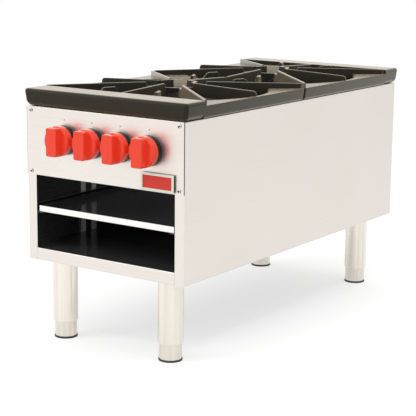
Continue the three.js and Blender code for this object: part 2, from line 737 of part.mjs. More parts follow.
function finger(degrees) {
  const limit = (fieldHalf - grateWall) / Math.sin(THREE.MathUtils.degToRad(Math.abs(degrees)));
  const root = limit + 0.8 * grateWall;
  const slope = fingerOuter + 8;
  return standingPlate([
    [fingerInner, rimTop - 4], [fingerOuter, rimTop - rimPlate - 4], [root, rimTop - rimPlate - 4],
    [root, rimTop - 1], [slope, rimTop], [fingerOuter - 4, fingerTop - 1.5], [fingerOuter - 9, fingerTop],
    [fingerInner + 4, fingerTop], [fingerInner, fingerTop - 4],
  ], finThickness, degrees);
}

function hub(lowSide) {
  const circum = 1 / Math.cos(Math.PI / 8);
  const outer = hubFlats / 2 * circum;
  const turn = Math.PI / 2;
  const ringBody = new THREE.CylinderGeometry(outer, outer - hubTaper * circum, hubHeight, 8);
  const inner = outer - hubWall * circum;
  const hole = new THREE.CylinderGeometry(inner, inner - hubTaper * circum, hubHeight + 2, 8);
  const height = finHubTop - hubHeight / 2;
  ringBody.rotateX(turn).translate(0, 0, height);
  hole.rotateX(turn).translate(0, 0, height);
  const lowered = block([-outer - 1, outer + 1], lowSide < 0 ? [-outer - 1, 0] : [0, outer + 1],
    [hubLowTop, finHubTop + 1]);
  return [cut(ringBody, lowered), hole];
}

function grate(lowSide) {
  const corner = THREE.MathUtils.radToDeg(Math.atan2(fieldHalf, grateTopHalf));
  const diagonal = Math.hypot(fieldHalf, grateTopHalf) + 3;
  const finHalf = grateTopHalf - finInset;
  const corners = [corner, 180 - corner, 180 + corner, 360 - corner];
  const fins = [
    common(join(...corners.map(angle => fin(angle, diagonal, cornerFinStart, false))),
      block([-finHalf, finHalf], [-fieldHalf - 2, fieldHalf], [grateBottom, finHubTop])),
    fin(0, finHalf, axisFinStart, true), fin(180, finHalf, axisFinStart, true),
    fin(90, fieldHalf, axisFinStart, true),
    standingPlate([
      [hubFlats / 2 - hubWall, finRootBottom], [fieldHalf * 0.62, finRimBottom], [fieldHalf + 2, finRimBottom],
      [fieldHalf + 2, ledgeTop], [fieldHalf, ledgeTop], [axisFinStart, finHubTop],
      [axisFinStart, hubLowTop], [hubFlats / 2 - hubWall, hubLowTop],
    ], finThickness, 270),
  ];
  const fingers = fingerAngles.flatMap(angle => [finger(angle), finger(-angle)]);
  const [ringBody, hole] = hub(lowSide);
  const casting = cut(join(rimAndSkirt(), ringBody, ...fins, ...fingers), hole);
  return common(casting, grateEnvelope());
}
add('front_top_grate', grate(-1), castIron).position.y = frontCentre;
const rearGrate = add('rear_top_grate', grate(1), castIron);
rearGrate.position.y = rearCentre;
rearGrate.rotation.z = Math.PI;

// ---------- drip tray and runners ----------
function sideStiffener(side) {
  const wall = inside - seam;
  const x = (from, to) => (side > 0 ? [wall - to, wall - from] : [from - wall, to - wall]);
  const first = ribStarts[0];
  const last = ribStarts[ribStarts.length - 1] + ribWidth;
  const z = [cavityFloor + seam, bodyTop - stiffenerDrop];
  const base = block(x(0, stiffenerBase), [first, last], z);
  return join(base, ...ribStarts.map(y => block(x(0, stiffenerBase + ribHeight), [y, y + ribWidth], z)));
}
add('left_side_stiffener', sideStiffener(-1), steel);
add('right_side_stiffener', sideStiffener(1), steel);

function trayRunner(side) {
  const x = (from, to) => (side > 0 ? [runnerOuter - to, runnerOuter - from] : [from - runnerOuter, to - runnerOuter]);
  const y = [postFront + sheet + seam, backInner - seam];
  const low = trayBottom - seam - sheet;
  const high = trayBottom + trayHeight + runnerClear;
  return join(
    block(x(0, sheet), y, [low, high + sheet]),
    block(x(0, runnerShelf), y, [low, low + sheet]),
    block(x(0, runnerLip), y, [high, high + sheet]),
  );
}
add('left_tray_runner', trayRunner(-1), steel);
add('right_tray_runner', trayRunner(1), steel);

function dripTray() {
  const top = trayBottom + trayHeight;
  const pan = block([-trayHalf, trayHalf], [trayFront, trayBack], [trayBottom, top]);
  const hollow = block([trayWall - trayHalf, trayHalf - trayWall], [trayFront + trayWall, trayBack - trayWall],
    [trayBottom + trayWall, top + 1]);
  return cut(pan, hollow);
}
add('drip_tray', dripTray(), steel);

// ---------- legs ----------
const plateTop = cavityFloor - sheet - seam;
function leg() {
  const low = plateTop - plateThickness;
  const bore = legRadius - legWall;
  const tube = turnedZ([
    [footRadius + seam, legEnd], [footRadius + seam, legEnd + collar], [bore, legEnd + collar],
    [bore, low + 1], [legRadius, low + 1], [legRadius, legEnd], [footRadius + seam, legEnd],
  ], 28);
  const plate = block([-plateSize / 2, plateSize / 2], [-plateSize / 2, plateSize / 2], [low, plateTop]);
  return join(tube, plate);
}
function foot() {
  return turnedZ([
    [0, 0], [padRadius - 1, 0], [padRadius, 1], [padRadius, padHeight], [footRadius, padHeight],
    [footRadius, legEnd + footEngaged], [0, legEnd + footEngaged],
  ], 28);
}
const legPlaces = [
  ['front_left', -legOffsetX, legFront],
  ['front_right', legOffsetX, legFront],
  ['rear_left', -legOffsetX, bodyDepth - legRearInset],
  ['rear_right', legOffsetX, bodyDepth - legRearInset],
];
for (const [place, x, y] of legPlaces) {
  const station = new THREE.Group();
  station.position.set(x, y, 0);
  range.add(station);
  add(`leg_${place}`, leg(), steel, station);
  add(`foot_${place}`, foot(), steel, station);
}

// ---------- the part's own frame: origin under the middle of its bounding box ----------
range.position.y = -(knobFront + bodyDepth + inletReach) / 2;

export default range;
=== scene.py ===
import json
import math

import bmesh
import bpy
from bpy.props import FloatProperty, FloatVectorProperty, PointerProperty
from mathutils import Matrix, Vector

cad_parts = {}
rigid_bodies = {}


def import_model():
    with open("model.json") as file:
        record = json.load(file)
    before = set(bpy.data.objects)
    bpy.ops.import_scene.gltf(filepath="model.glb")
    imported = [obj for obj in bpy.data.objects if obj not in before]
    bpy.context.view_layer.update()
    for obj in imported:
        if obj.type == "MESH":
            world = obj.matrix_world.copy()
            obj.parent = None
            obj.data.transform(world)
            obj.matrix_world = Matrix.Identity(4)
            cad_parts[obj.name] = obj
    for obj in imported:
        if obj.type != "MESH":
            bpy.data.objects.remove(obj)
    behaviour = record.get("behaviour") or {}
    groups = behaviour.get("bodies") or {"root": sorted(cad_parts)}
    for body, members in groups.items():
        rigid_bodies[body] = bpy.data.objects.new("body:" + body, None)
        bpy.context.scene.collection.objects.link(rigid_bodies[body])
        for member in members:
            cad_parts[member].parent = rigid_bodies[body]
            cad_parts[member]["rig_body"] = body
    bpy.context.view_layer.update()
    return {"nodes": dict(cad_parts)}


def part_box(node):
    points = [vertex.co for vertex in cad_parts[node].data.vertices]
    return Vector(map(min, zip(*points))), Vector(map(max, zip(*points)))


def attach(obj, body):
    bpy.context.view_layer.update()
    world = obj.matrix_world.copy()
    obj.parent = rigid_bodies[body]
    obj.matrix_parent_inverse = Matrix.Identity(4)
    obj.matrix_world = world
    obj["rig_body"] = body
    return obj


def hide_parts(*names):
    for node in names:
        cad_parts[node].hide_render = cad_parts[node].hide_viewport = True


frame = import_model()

bl_info = {
    "name": "Stock Pot Range",
    "version": (1, 0, 0),
    "blender": (4, 5, 0),
    "location": "3D View > Sidebar > Range",
    "description": "Dresses the packed stock pot range with detailed pieces and finishes",
    "category": "Object",
}

MM = 0.001
CORNERS = ("front_left", "front_right", "rear_left", "rear_right")
KNOBS = range(1, 5)
AXES = {"x": 0, "y": 1, "z": 2}
FACING = 0.9  # a face looks along an axis if its normal has this much of it
CREASE = 60.0  # degrees; sharper than the facets of a rounded corner
NEAR = 0.1 * MM  # an edge this close to a plane lies in it
OVER = 1 * MM  # how far a cutter stands out of what it cuts
JOIN, CUT, TRIM = "UNION", "DIFFERENCE", "INTERSECT"


def colour(name, description, default):
    return FloatVectorProperty(name=name, description=description, default=default,
                               subtype="COLOR", size=3, min=0.0, max=1.0)


def length(name, description, default):
    return FloatProperty(name=name, description=description, default=default,
                         unit="LENGTH", min=0.0, precision=4)


class RangeColours(bpy.types.PropertyGroup):
    """Colours of the range's finishes"""
    stainless: colour("Stainless", "Brushed sheet of the body", (0.76, 0.715, 0.665))
    # A darker copy of the stainless for the faces inside the body and the tray: painted shade.
    cavity: colour("Cavity", "Sheet inside the body, which sees no daylight", (0.145, 0.145, 0.15))
    # On the stiffeners' crowns this colour is a painted highlight.
    bright: colour("Bright edges", "Tray lip and ribs", (0.88, 0.86, 0.82))
    leg: colour("Legs", "Drawn tube of the legs and their feet", (0.80, 0.755, 0.675))
    enamel: colour("Grate enamel", "Semi-gloss enamel on the cast grates", (0.028, 0.0255, 0.0185))
    # Lighter metal on one inner flat of each hub: a painted highlight.
    hub: colour("Burnished hub", "Worn inner face of a grate's hub", (0.30, 0.27, 0.215))
    burner: colour("Burner iron", "Bare cast iron of the burners", (0.045, 0.042, 0.040))
    knob: colour("Knob red", "Moulded plastic of the knobs", (1.0, 0.064, 0.028))
    bezel: colour("Bezel black", "Moulded ring behind each knob", (0.004, 0.0045, 0.0045))
    badge_frame: colour("Badge frame", "Pale metal rim of the badge place", (0.72, 0.725, 0.62))
    badge_field: colour("Badge field", "Bare field of the badge place", (0.70, 0.045, 0.032))
    pad: colour("Foot pad", "Dark pad under each foot", (0.045, 0.042, 0.036))
    brass: colour("Brass", "Valves and their stems", (0.60, 0.40, 0.14))
    pipe: colour("Black pipe", "Gas manifold and inlet pipe", (0.030, 0.030, 0.033))
    tube: colour("Tube alloy", "Supply and pilot tubes", (0.62, 0.63, 0.65))
    index: colour("Index paint", "Printed marks above the knobs", (0.16, 0.16, 0.17))


class RangeSizes(bpy.types.PropertyGroup):
    """Small sizes that the visual model adds to the frame"""
    sheet: length("Sheet", "Thickness of the stainless sheet", 1.5 * MM)
    fold: length("Fold radius", "Outside radius of the body's folds", 3.0 * MM)
    casting_edge: length("Casting edge", "Rounding of the grates' edges", 2.4 * MM)
    ledge_nose: length("Ledge nose", "Rounding of the outer edges of the grates' ledges", 8.5 * MM)
    knob_rim: length("Knob rim", "Rounding of a knob's disc", 4.2 * MM)
    knob_grip: length("Knob grip edge", "Rounding of a knob's grip", 1.8 * MM)
    badge_edge: length("Badge edge", "Rounding of the badge's rim", 0.8 * MM)
    port: length("Burner port", "Radius of a burner port", 1.6 * MM)


# ---- mesh helpers

def mm(*values):
    """Millimetres as metres."""
    return [value * MM for value in values]


def placed(node):
    """A CAD node's low corner, high corner and middle."""
    low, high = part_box(node)
    return low, high, (low + high) / 2


def spin(bm, degrees, axis="Z", verts=None):
    """Turns a bmesh, or some of it, about an axis through the origin."""
    bmesh.ops.rotate(bm, cent=(0, 0, 0), matrix=Matrix.Rotation(math.radians(degrees), 3, axis),
                     verts=verts or bm.verts)


def shift(bm, offset, verts=None):
    bmesh.ops.translate(bm, vec=offset, verts=verts or bm.verts)


def block(low, high):
    """A block between two corners."""
    low, high = Vector(low), Vector(high)
    bm = bmesh.new()
    bmesh.ops.create_cube(bm, size=1.0)
    bmesh.ops.scale(bm, vec=high - low, verts=bm.verts)
    shift(bm, (high + low) / 2)
    return bm


def add_drum(bm, radius, low, high, axis="z", top_radius=None, steps=64):
    """Adds a closed drum whose axis runs from one point to another; returns its vertices."""
    low, high = Vector(low), Vector(high)
    made = bmesh.ops.create_cone(
        bm, cap_ends=True, segments=steps, radius1=radius,
        radius2=radius if top_radius is None else top_radius, depth=(high - low).length)["verts"]
    if axis == "y":
        spin(bm, -90, "X", made)
    shift(bm, (high + low) / 2, made)
    return made


def drum(*place, **shape):
    bm = bmesh.new()
    add_drum(bm, *place, **shape)
    return bm


def turned(profile, centre, axis="z", steps=64, closed=True):
    """Spins a profile of (radius, place along the axis) points, in metres, round a centre."""
    along = Vector()
    along[AXES[axis]] = 1
    centre = Vector(centre)
    bm = bmesh.new()
    rim = [bm.verts.new(centre + Vector((r, 0, 0)) + along * h) for r, h in profile]
    pairs = list(zip(rim, rim[1:])) + ([(rim[-1], rim[0])] if closed else [])
    edges = [bm.edges.new(pair) for pair in pairs]
    bmesh.ops.spin(bm, geom=rim + edges, cent=centre, axis=along, dvec=(0, 0, 0),
                   angle=2 * math.pi, steps=steps, use_merge=True, use_duplicate=False)
    bmesh.ops.remove_doubles(bm, verts=bm.verts, dist=1e-6)
    bmesh.ops.recalc_face_normals(bm, faces=bm.faces)
    return bm


def standing_plate(outline, degrees):
    """A fin's plate at an angle about the origin: its outline is (distance, height)."""
    bm = bmesh.new()
    face = bm.faces.new([bm.verts.new((r, -FIN / 2, h)) for r, h in outline])
    pushed = bmesh.ops.extrude_face_region(bm, geom=[face])["geom"]
    shift(bm, (0, FIN, 0), [v for v in pushed if isinstance(v, bmesh.types.BMVert)])
    bmesh.ops.recalc_face_normals(bm, faces=bm.faces)
    spin(bm, degrees)
    return bm


def bevel(bm, edges, width, segments, clamp=True):
    bmesh.ops.bevel(bm, geom=edges, offset=width, offset_type="OFFSET", segments=segments,
                    profile=0.5, affect="EDGES", clamp_overlap=clamp, material=-1)


def soften(bm, width, segments=3, angle=40.0, where=None, clamp=True):
    """Rounds each edge that is sharper than an angle, where a test of the edge allows it."""
    bm.normal_update()
    bevel(bm, [e for e in bm.edges if len(e.link_faces) == 2
               and e.calc_face_angle(0.0) > math.radians(angle) and (where is None or where(e))],
          width, segments, clamp)


def middle(edge):
    return (edge.verts[0].co + edge.verts[1].co) / 2


def towards(side):
    """The sign and the axis of a side such as '-y'."""
    return 1 if side[0] == "+" else -1, AXES[side[1]]


def lies(side, level, slack=NEAR):
    """A test of whether an edge lies at a level or beyond it, towards a side."""
    sign, axis = towards(side)
    return lambda edge: sign * (middle(edge)[axis] - level) > -slack


def runs(axis, least=OVER):
    """A test of whether an edge runs some way along an axis."""
    index = AXES[axis]
    return lambda edge: abs(edge.verts[0].co[index] - edge.verts[1].co[index]) > least


def face_on(bm, side):
    """The outermost face towards a side."""
    sign, axis = towards(side)
    bm.normal_update()
    return max((f for f in bm.faces if sign * f.normal[axis] > FACING),
               key=lambda f: sign * f.calc_center_median()[axis])


def folded_sheet(low, high, opened, main, radius, trims=()):
    """A sheet folded round a block: sides left open, the main side's edges rounded.

    A trim (side, axis, limit, keep) cuts one side back to a limit and keeps what lies
    towards the sign of keep.
    """
    sheet = block(low, high)
    bmesh.ops.delete(sheet, geom=[face_on(sheet, side) for side in opened], context="FACES")
    for side, axis, limit, keep in trims:
        face = face_on(sheet, side)
        along = AXES[axis]
        plane, normal = Vector(), Vector()
        plane[along], normal[along] = limit, 1
        bmesh.ops.bisect_plane(sheet, geom=[face, *face.edges, *face.verts], dist=1e-6,
                               plane_co=plane, plane_no=normal)
        sheet.normal_update()
        sign, across = towards(side)
        beyond = [f for f in sheet.faces if sign * f.normal[across] > FACING
                  and keep * (f.calc_center_median()[along] - limit) < 0]
        bmesh.ops.delete(sheet, geom=beyond, context="FACES")
    folds = [e for e in face_on(sheet, main).edges if len(e.link_faces) == 2]
    bevel(sheet, folds, radius, 4)
    return sheet


def settle(obj):
    """Applies an object's modifiers."""
    bpy.context.view_layer.update()
    graph = bpy.context.evaluated_depsgraph_get()
    mesh = bpy.data.meshes.new_from_object(obj.evaluated_get(graph), depsgraph=graph)
    unused, obj.data = obj.data, mesh
    obj.modifiers.clear()
    bpy.data.meshes.remove(unused)
    mesh.name = obj.name


def linked_object(name, data):
    obj = bpy.data.objects.new(name, data)
    bpy.context.scene.collection.objects.link(obj)
    return obj


def mesh_object(name, bm):
    """Turns a bmesh into an object of the scene."""
    mesh = bpy.data.meshes.new(name)
    bm.to_mesh(mesh)
    bm.free()
    return linked_object(name, mesh)


def remove_object(obj):
    mesh = obj.data
    bpy.data.objects.remove(obj)
    bpy.data.meshes.remove(mesh)


def change_by(obj, *steps):
    """Joins bmeshes to an object, cuts them from it or trims it: a step is (operation, bmesh)."""
    for operation, other in steps:
        change = obj.modifiers.new("carve", "BOOLEAN")
        change.operation, change.solver = operation, "EXACT"
        change.object = mesh_object("spare", other)
    others = [change.object for change in obj.modifiers]
    settle(obj)
    for other in others:
        remove_object(other)


def carved(base, *steps):
    """A bmesh that other bmeshes are joined to, cut from or trim."""
    obj = mesh_object("spare", base)
    change_by(obj, *steps)
    bm = bmesh.new()
    bm.from_mesh(obj.data)
    remove_object(obj)
    bmesh.ops.remove_doubles(bm, verts=bm.verts, dist=2e-6)
    bmesh.ops.dissolve_degenerate(bm, edges=bm.edges, dist=2e-6)
    return bm


def make_piece(name, bm, kinds, nodes=(), body="range", thickness=0.0,
               smooth=40.0, holes=None):
    """Turns a bmesh into a finished piece that rides on a body and stands for CAD nodes."""
    obj = mesh_object(name, bm)
    for kind in kinds:
        obj.data.materials.append(finish(kind))
    if thickness:
        wall = obj.modifiers.new("wall", "SOLIDIFY")
        wall.thickness = thickness
        wall.offset = -1.0
        wall.use_even_offset = wall.use_quality_normals = True
        wall.material_offset = wall.material_offset_rim = 1
        settle(obj)
    obj.data.shade_smooth()
    obj.data.set_sharp_from_angle(angle=math.radians(smooth))
    if holes:
        change_by(obj, (CUT, holes))
    obj.modifiers.new("even shading", "WEIGHTED_NORMAL").keep_sharp = True
    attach(obj, body)
    if nodes:
        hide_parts(*nodes)


def refined_copy(node, kinds, edge=0.0, paint=None):
    """A smooth-shaded copy of a CAD node with its edges softened."""
    bm = bmesh.new()
    bm.from_mesh(frame["nodes"][node].data)
    bmesh.ops.remove_doubles(bm, verts=bm.verts, dist=1e-5)
    bmesh.ops.dissolve_limit(bm, angle_limit=math.radians(1.0), verts=bm.verts, edges=bm.edges)
    if edge:
        soften(bm, edge, 2, 50.0)
    for face in bm.faces:
        face.material_index = paint(face) if paint else 0
    make_piece("fine_" + node, bm, kinds, [node], frame["nodes"][node]["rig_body"])


# ---- material helpers

NOISE_SPAN = (0.3, 0.7)  # where most of a noise texture's values lie


def feed(tree, socket, value):
    """Sets a socket to a value, or links it to another socket."""
    if isinstance(value, bpy.types.NodeSocket):
        tree.links.new(value, socket)
    else:
        socket.default_value = value


def add_node(tree, kind, **inputs):
    """Adds a shader node and feeds its inputs."""
    node = tree.nodes.new("ShaderNode" + kind)
    for socket, value in inputs.items():
        feed(tree, node.inputs[socket.replace("_", " ")], value)
    return node


def link_math(tree, operation, a, b, kind="Math"):
    node = add_node(tree, kind)
    node.operation = operation
    feed(tree, node.inputs[0], a)
    feed(tree, node.inputs[1], b)
    return node.outputs[0]


def noise(tree, vector, scale, detail=3.0, roughness=0.5):
    return add_node(tree, "TexNoise", Vector=vector, Scale=scale, Detail=detail,
                    Roughness=roughness).outputs["Fac"]


def new_group(name, **inputs):
    """A node group that reads Object coordinates: its tree, inputs and coordinates."""
    tree = bpy.data.node_groups.new(name, "ShaderNodeTree")
    for socket, default in inputs.items():
        kind = "NodeSocketVector" if isinstance(default, tuple) else "NodeSocketFloat"
        made = tree.interface.new_socket(name=socket, in_out="INPUT", socket_type=kind)
        made.default_value = default
    place = add_node(tree, "TexCoord").outputs["Object"]
    return tree, tree.nodes.new("NodeGroupInput").outputs, place


def give_out(tree, **values):
    """Gives a node group its outputs."""
    for socket in values:
        tree.interface.new_socket(name=socket, in_out="OUTPUT", socket_type="NodeSocketFloat")
    end = tree.nodes.new("NodeGroupOutput")
    for socket, value in values.items():
        tree.links.new(value, end.inputs[socket])
    return tree


def brushing_group(name):
    """Fine lines along one direction and the soft clouds of a sheet that was wiped by hand."""
    tree, given, place = new_group(name, Stretch=(3.0, 3.0, 400.0), Clouds=5.0)
    drawn_out = link_math(tree, "MULTIPLY", place, given["Stretch"], "VectorMath")
    return give_out(tree, Lines=noise(tree, drawn_out, 1.0, 4.0, 0.65),
                    Smudge=noise(tree, place, given["Clouds"], 3.0, 0.55))


def grain_group(name):
    """Sand-cast grain with shallow pits, and a broad wear mask."""
    tree, given, place = new_group(name, Grain=900.0, Patches=14.0)
    fine = noise(tree, place, given["Grain"], 2.0, 0.6)
    pits = link_math(tree, "MULTIPLY", noise(tree, place, 160.0), 1.6)
    return give_out(tree, Height=link_math(tree, "ADD", fine, pits),
                    Wear=noise(tree, place, given["Patches"], 4.0, 0.6))


GROUPS = {"Brushed Lines": brushing_group, "Cast Grain": grain_group}


def shared_group(material, name, **values):
    """Places a shared node group in a material, built the first time it is asked for."""
    node = material.node_tree.nodes.new("ShaderNodeGroup")
    node.node_tree = bpy.data.node_groups.get(name) or GROUPS[name](name)
    for socket, value in values.items():
        node.inputs[socket].default_value = value
    return node.outputs


def mixed_colour(material, mask, *colours):
    node = add_node(material.node_tree, "Mix")
    node.data_type = "RGBA"
    feed(material.node_tree, node.inputs[0], mask)
    for socket, part in zip((6, 7), colours):   # the colour mix's own inputs
        node.inputs[socket].default_value = (*part, 1.0)
    return node.outputs[2]


def spread_value(material, source, low, high, span=NOISE_SPAN):
    """A value that goes from low to high while another goes through its span."""
    return add_node(material.node_tree, "MapRange", Value=source, From_Min=span[0],
                    From_Max=span[1], To_Min=low, To_Max=high).outputs["Result"]


def start_material(name, **fixed):
    """A material whose plain numbers are set on the shader itself."""
    material = bpy.data.materials.new(name)
    material.use_nodes = True
    feed_shader(material, **fixed)
    return material


def feed_shader(material, **inputs):
    tree = material.node_tree
    for socket, value in inputs.items():
        feed(tree, tree.nodes["Principled BSDF"].inputs[socket.replace("_", " ")], value)


def join_up(material, colour_out, roughness_out, height_out, depth, pitch):
    """Links a material's colour, roughness and bump to its shader."""
    bump = add_node(material.node_tree, "Bump", Strength=depth, Distance=pitch,
                    Height=height_out)
    feed_shader(material, Base_Color=colour_out, Roughness=roughness_out,
                Normal=bump.outputs["Normal"])
    return material


def shade(base, factor):
    return tuple(min(1.0, part * factor) for part in base)


def brushed_metal(name, base, stretch, roughness=(0.24, 0.36), depth=0.05, contrast=0.05,
                  clouds=5.0, metallic=1.0):
    material = start_material(name, Metallic=metallic)
    out = shared_group(material, "Brushed Lines", Stretch=stretch, Clouds=clouds)
    tone = mixed_colour(material, out["Lines"], shade(base, 1 - contrast),
                        shade(base, 1 + contrast))
    rough = link_math(material.node_tree, "ADD",
                      spread_value(material, out["Smudge"], *roughness),
                      spread_value(material, out["Lines"], -0.03, 0.03))
    return join_up(material, tone, rough, out["Lines"], depth, 0.4 * MM)


def grained(material, base, tones, roughness, depth, pitch, **grain):
    out = shared_group(material, "Cast Grain", **grain)
    tone = mixed_colour(material, out["Wear"], *(shade(base, factor) for factor in tones))
    rough = spread_value(material, out["Wear"], *roughness)
    return join_up(material, tone, rough, out["Height"], depth, pitch)


def cast_metal(name, base, tones, roughness, depth, metallic=0.0, **fixed):
    return grained(start_material(name, Metallic=metallic, **fixed), base, tones, roughness,
                   depth, 0.5 * MM)


def enamel(name, base):
    """Thick enamel, dull where it is seen squarely and glossy where it is seen aslant."""
    material = cast_metal(name, base, (0.85, 1.2), (0.30, 0.42), 0.10,
                          Specular_IOR_Level=0.08, Coat_Roughness=0.22, Coat_IOR=1.7,
                          Sheen_Weight=0.5, Sheen_Roughness=0.40,
                          Sheen_Tint=(1.0, 0.80, 0.50, 1.0))
    aslant = add_node(material.node_tree, "LayerWeight").outputs["Facing"]
    feed_shader(material, Coat_Weight=spread_value(material, aslant, 0.0, 1.0, (0.38, 0.74)))
    return material


def moulded_plastic(name, base, roughness, specular=0.5):
    return grained(start_material(name, Specular_IOR_Level=specular), base, (0.93, 1.05),
                   roughness, 0.04, 0.2 * MM, Grain=1500.0, Patches=22.0)


LINE, CROSS = 3.0, 420.0  # scales of the brushing along its lines and across them
SIDEWAYS, LENGTHWAYS, UPRIGHT = ((LINE, CROSS, CROSS), (CROSS, LINE, CROSS),
                                 (CROSS, CROSS, LINE))
REFLECTION_BANDS = (85.0, 85.0, 1.2)  # broad upright bands of lighter and darker tone round a tube: painted reflections

# Each finish: the name of its colour, the shade of it, and its maker's settings in order.
FINISHES = {
    brushed_metal: {
        "stainless brushed across": ("stainless", 1, SIDEWAYS, (0.25, 0.40), 0.05, 0.07),
        "stainless brushed lengthways": ("stainless", 1, LENGTHWAYS, (0.30, 0.40), 0.015),
        "stainless brushed upright": ("stainless", 1, UPRIGHT),
        # The legs' and feet's strong upright bands are painted reflections.
        "leg stainless": ("leg", 1, REFLECTION_BANDS, (0.16, 0.30), 0.10, 0.24, 9.0),
        "foot stainless": ("leg", 0.94, REFLECTION_BANDS, (0.22, 0.34), 0.10, 0.24, 9.0),
        "bright sheet": ("bright", 1, SIDEWAYS, (0.3, 0.4)),
        # Stiffener crowns: a lighter copy of the bright sheet, a painted highlight.
        "bright rib": ("bright", 1, UPRIGHT, (0.45, 0.55), 0.05, 0.05, 5.0, 0.35),
        # Inside faces: the stainless darkened as painted shade.
        "cavity sheet": ("cavity", 1, LENGTHWAYS, (0.14, 0.22), 0.008, 0.08, 4.0, 0.7),
        "plain steel": ("stainless", 0.5, LENGTHWAYS, (0.35, 0.5)),
        "badge rim": ("badge_frame", 1, SIDEWAYS, (0.35, 0.45), 0.05, 0.05, 5.0, 0.5),
        "tube alloy": ("tube", 1, LENGTHWAYS, (0.28, 0.4)),
        "screw steel": ("bright", 0.85, SIDEWAYS, (0.2, 0.3)),
    },
    cast_metal: {
        # Lighter metal for one inner flat of each hub: a painted highlight.
        "burnished hub": ("hub", 1, (0.85, 1.15), (0.20, 0.30), 0.10, 1.0),
        "burner iron": ("burner", 1, (0.7, 1.5), (0.55, 0.75), 0.3),
        "valve brass": ("brass", 1, (0.8, 1.2), (0.3, 0.45), 0.08, 1.0),
        "pipe black": ("pipe", 1, (0.8, 1.4), (0.45, 0.6), 0.2, 0.3),
    },
    enamel: {"grate enamel": ("enamel", 1)},
    moulded_plastic: {
        "knob plastic": ("knob", 1, (0.14, 0.20), 0.3),
        "bezel plastic": ("bezel", 1, (0.35, 0.48), 0.2),
        "pad rubber": ("pad", 1, (0.6, 0.75)),
        "badge field": ("badge_field", 1, (0.28, 0.36), 0.3),
        "index paint": ("index", 1, (0.5, 0.6)),
    },
}


def finish(kind):
    """The material of one of the range's finishes, made the first time it is asked for."""
    found = bpy.data.materials.get(kind)
    if found:
        return found
    maker = next(maker for maker, kinds in FINISHES.items() if kind in kinds)
    name, factor, *settings = FINISHES[maker][kind]
    base = shade(getattr(bpy.context.scene.range_colours, name), factor)
    return maker(kind, base, *settings)


# ---- operators

FOLD_HALF = 201.7 * MM  # half the width of the folds that fit between the front posts


class RangeOperator(bpy.types.Operator):
    """Makes one group of the range's pieces"""
    bl_options = {"REGISTER", "UNDO"}


class RANGE_OT_side_panels(RangeOperator):
    """Side panels with a rounded fold along every edge"""
    bl_idname = "stockpot.side_panels"
    bl_label = "Side Panels"

    def execute(self, context):
        sizes = context.scene.range_sizes
        flanges = dict(zip(("+z", "-z", "+y"), mm(20, 14, 18)))
        for node, sign, outside, inside in (("left_side_panel", -1, "-x", "+x"),
                                            ("right_side_panel", 1, "+x", "-x")):
            low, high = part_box(node)
            outer = high.x if sign > 0 else low.x
            panel = folded_sheet(low, high, [inside], outside, sizes.fold,
                                 [(side, "x", outer - sign * flange, sign)
                                  for side, flange in flanges.items()])
            make_piece("folded_" + node, panel, ["stainless brushed lengthways", "cavity sheet"],
                       [node], thickness=sizes.sheet)
        return {"FINISHED"}


class RANGE_OT_control_panel(RangeOperator):
    """Control panel with folded edges, holes for the stems, black strips painted as shade in the
    gaps at its ends, and printed index marks
    """
    bl_idname = "stockpot.control_panel"
    bl_label = "Control Panel"

    def execute(self, context):
        sizes = context.scene.range_sizes
        low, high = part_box("control_panel")
        fold, strip_width, strip_front, strip_back, strip_end = mm(0.6, 1.1, 0.5, 1.7, 1)
        hole, reach, mark, mark_rise, proud, sunk = mm(6, 5, 1.5, 47, 0.2, 0.3)
        panel = folded_sheet(low, high, ["+y", "-x", "+x"], "-y", fold,
                             [(side + "z", "x", sign * FOLD_HALF, -sign)
                              for side in "+-" for sign in (1, -1)])
        stems = [placed(f"valve_stem_{index}")[2] for index in KNOBS]
        holes = bmesh.new()
        for x, _, z in stems:
            add_drum(holes, hole, (x, low.y - reach, z), (x, low.y + reach, z), "y", steps=24)
        make_piece("folded_control_panel", panel, ["stainless brushed across", "cavity sheet"],
                   ["control_panel"], thickness=sizes.sheet, holes=holes)
        # A black strip in each gap beside the panel's ends: painted shade.
        for side, edge in (("left", low.x), ("right", high.x)):
            outer = edge + math.copysign(strip_width, edge)
            shade_strip = block((min(edge, outer), low.y + strip_front, low.z + strip_end),
                         (max(edge, outer), low.y + strip_back, high.z - strip_end))
            make_piece(f"panel_seam_{side}", shade_strip, ["bezel plastic"])
        for index, (x, _, z) in zip(KNOBS, stems):
            dot = drum(mark, (x, low.y - proud, z + mark_rise), (x, low.y + sunk, z + mark_rise),
                       "y", steps=24)
            make_piece(f"index_mark_{index}", dot, ["index paint"])
        return {"FINISHED"}


class RANGE_OT_base_pan(RangeOperator):
    """Cavity floor with its front rail and skirts"""
    bl_idname = "stockpot.base_pan"
    bl_label = "Base Pan"

    def execute(self, context):
        sizes = context.scene.range_sizes
        low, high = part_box("base_pan")
        rail_depth, rail_fold, floor_fold, lift, gap = mm(10, 1.6, 1.2, 1.8, 0.3)
        floor_front = low.y + sizes.sheet + gap
        bm = folded_sheet((low.x, floor_front, low.z + lift), high, ["-z", "-y"], "+z",
                          floor_fold)
        for face in bm.faces:
            face.material_index = 1
        rail = folded_sheet(
            (-FOLD_HALF, low.y, low.z), (FOLD_HALF, low.y + rail_depth, high.z),
            ["+y", "-x", "+x"], "-y", rail_fold, [("+z", "y", floor_front + sizes.sheet, -1)])
        rail = mesh_object("spare", rail)
        bm.from_mesh(rail.data)
        remove_object(rail)
        make_piece("folded_base_pan", bm,
                   ["stainless brushed across", "cavity sheet", "cavity sheet"], ["base_pan"],
                   thickness=sizes.sheet)
        return {"FINISHED"}


class RANGE_OT_back_panel(RangeOperator):
    """Back panel with its vent slots"""
    bl_idname = "stockpot.back_panel"
    bl_label = "Back Panel"

    def execute(self, context):
        refined_copy("back_panel", ["stainless brushed upright"])
        return {"FINISHED"}


# A screw head's dome: (share of its radius, share of its rise).
DOME = ((0, 0), (0.62, 0.18), (0.9, 0.4), (1, 0.55), (1, 1))


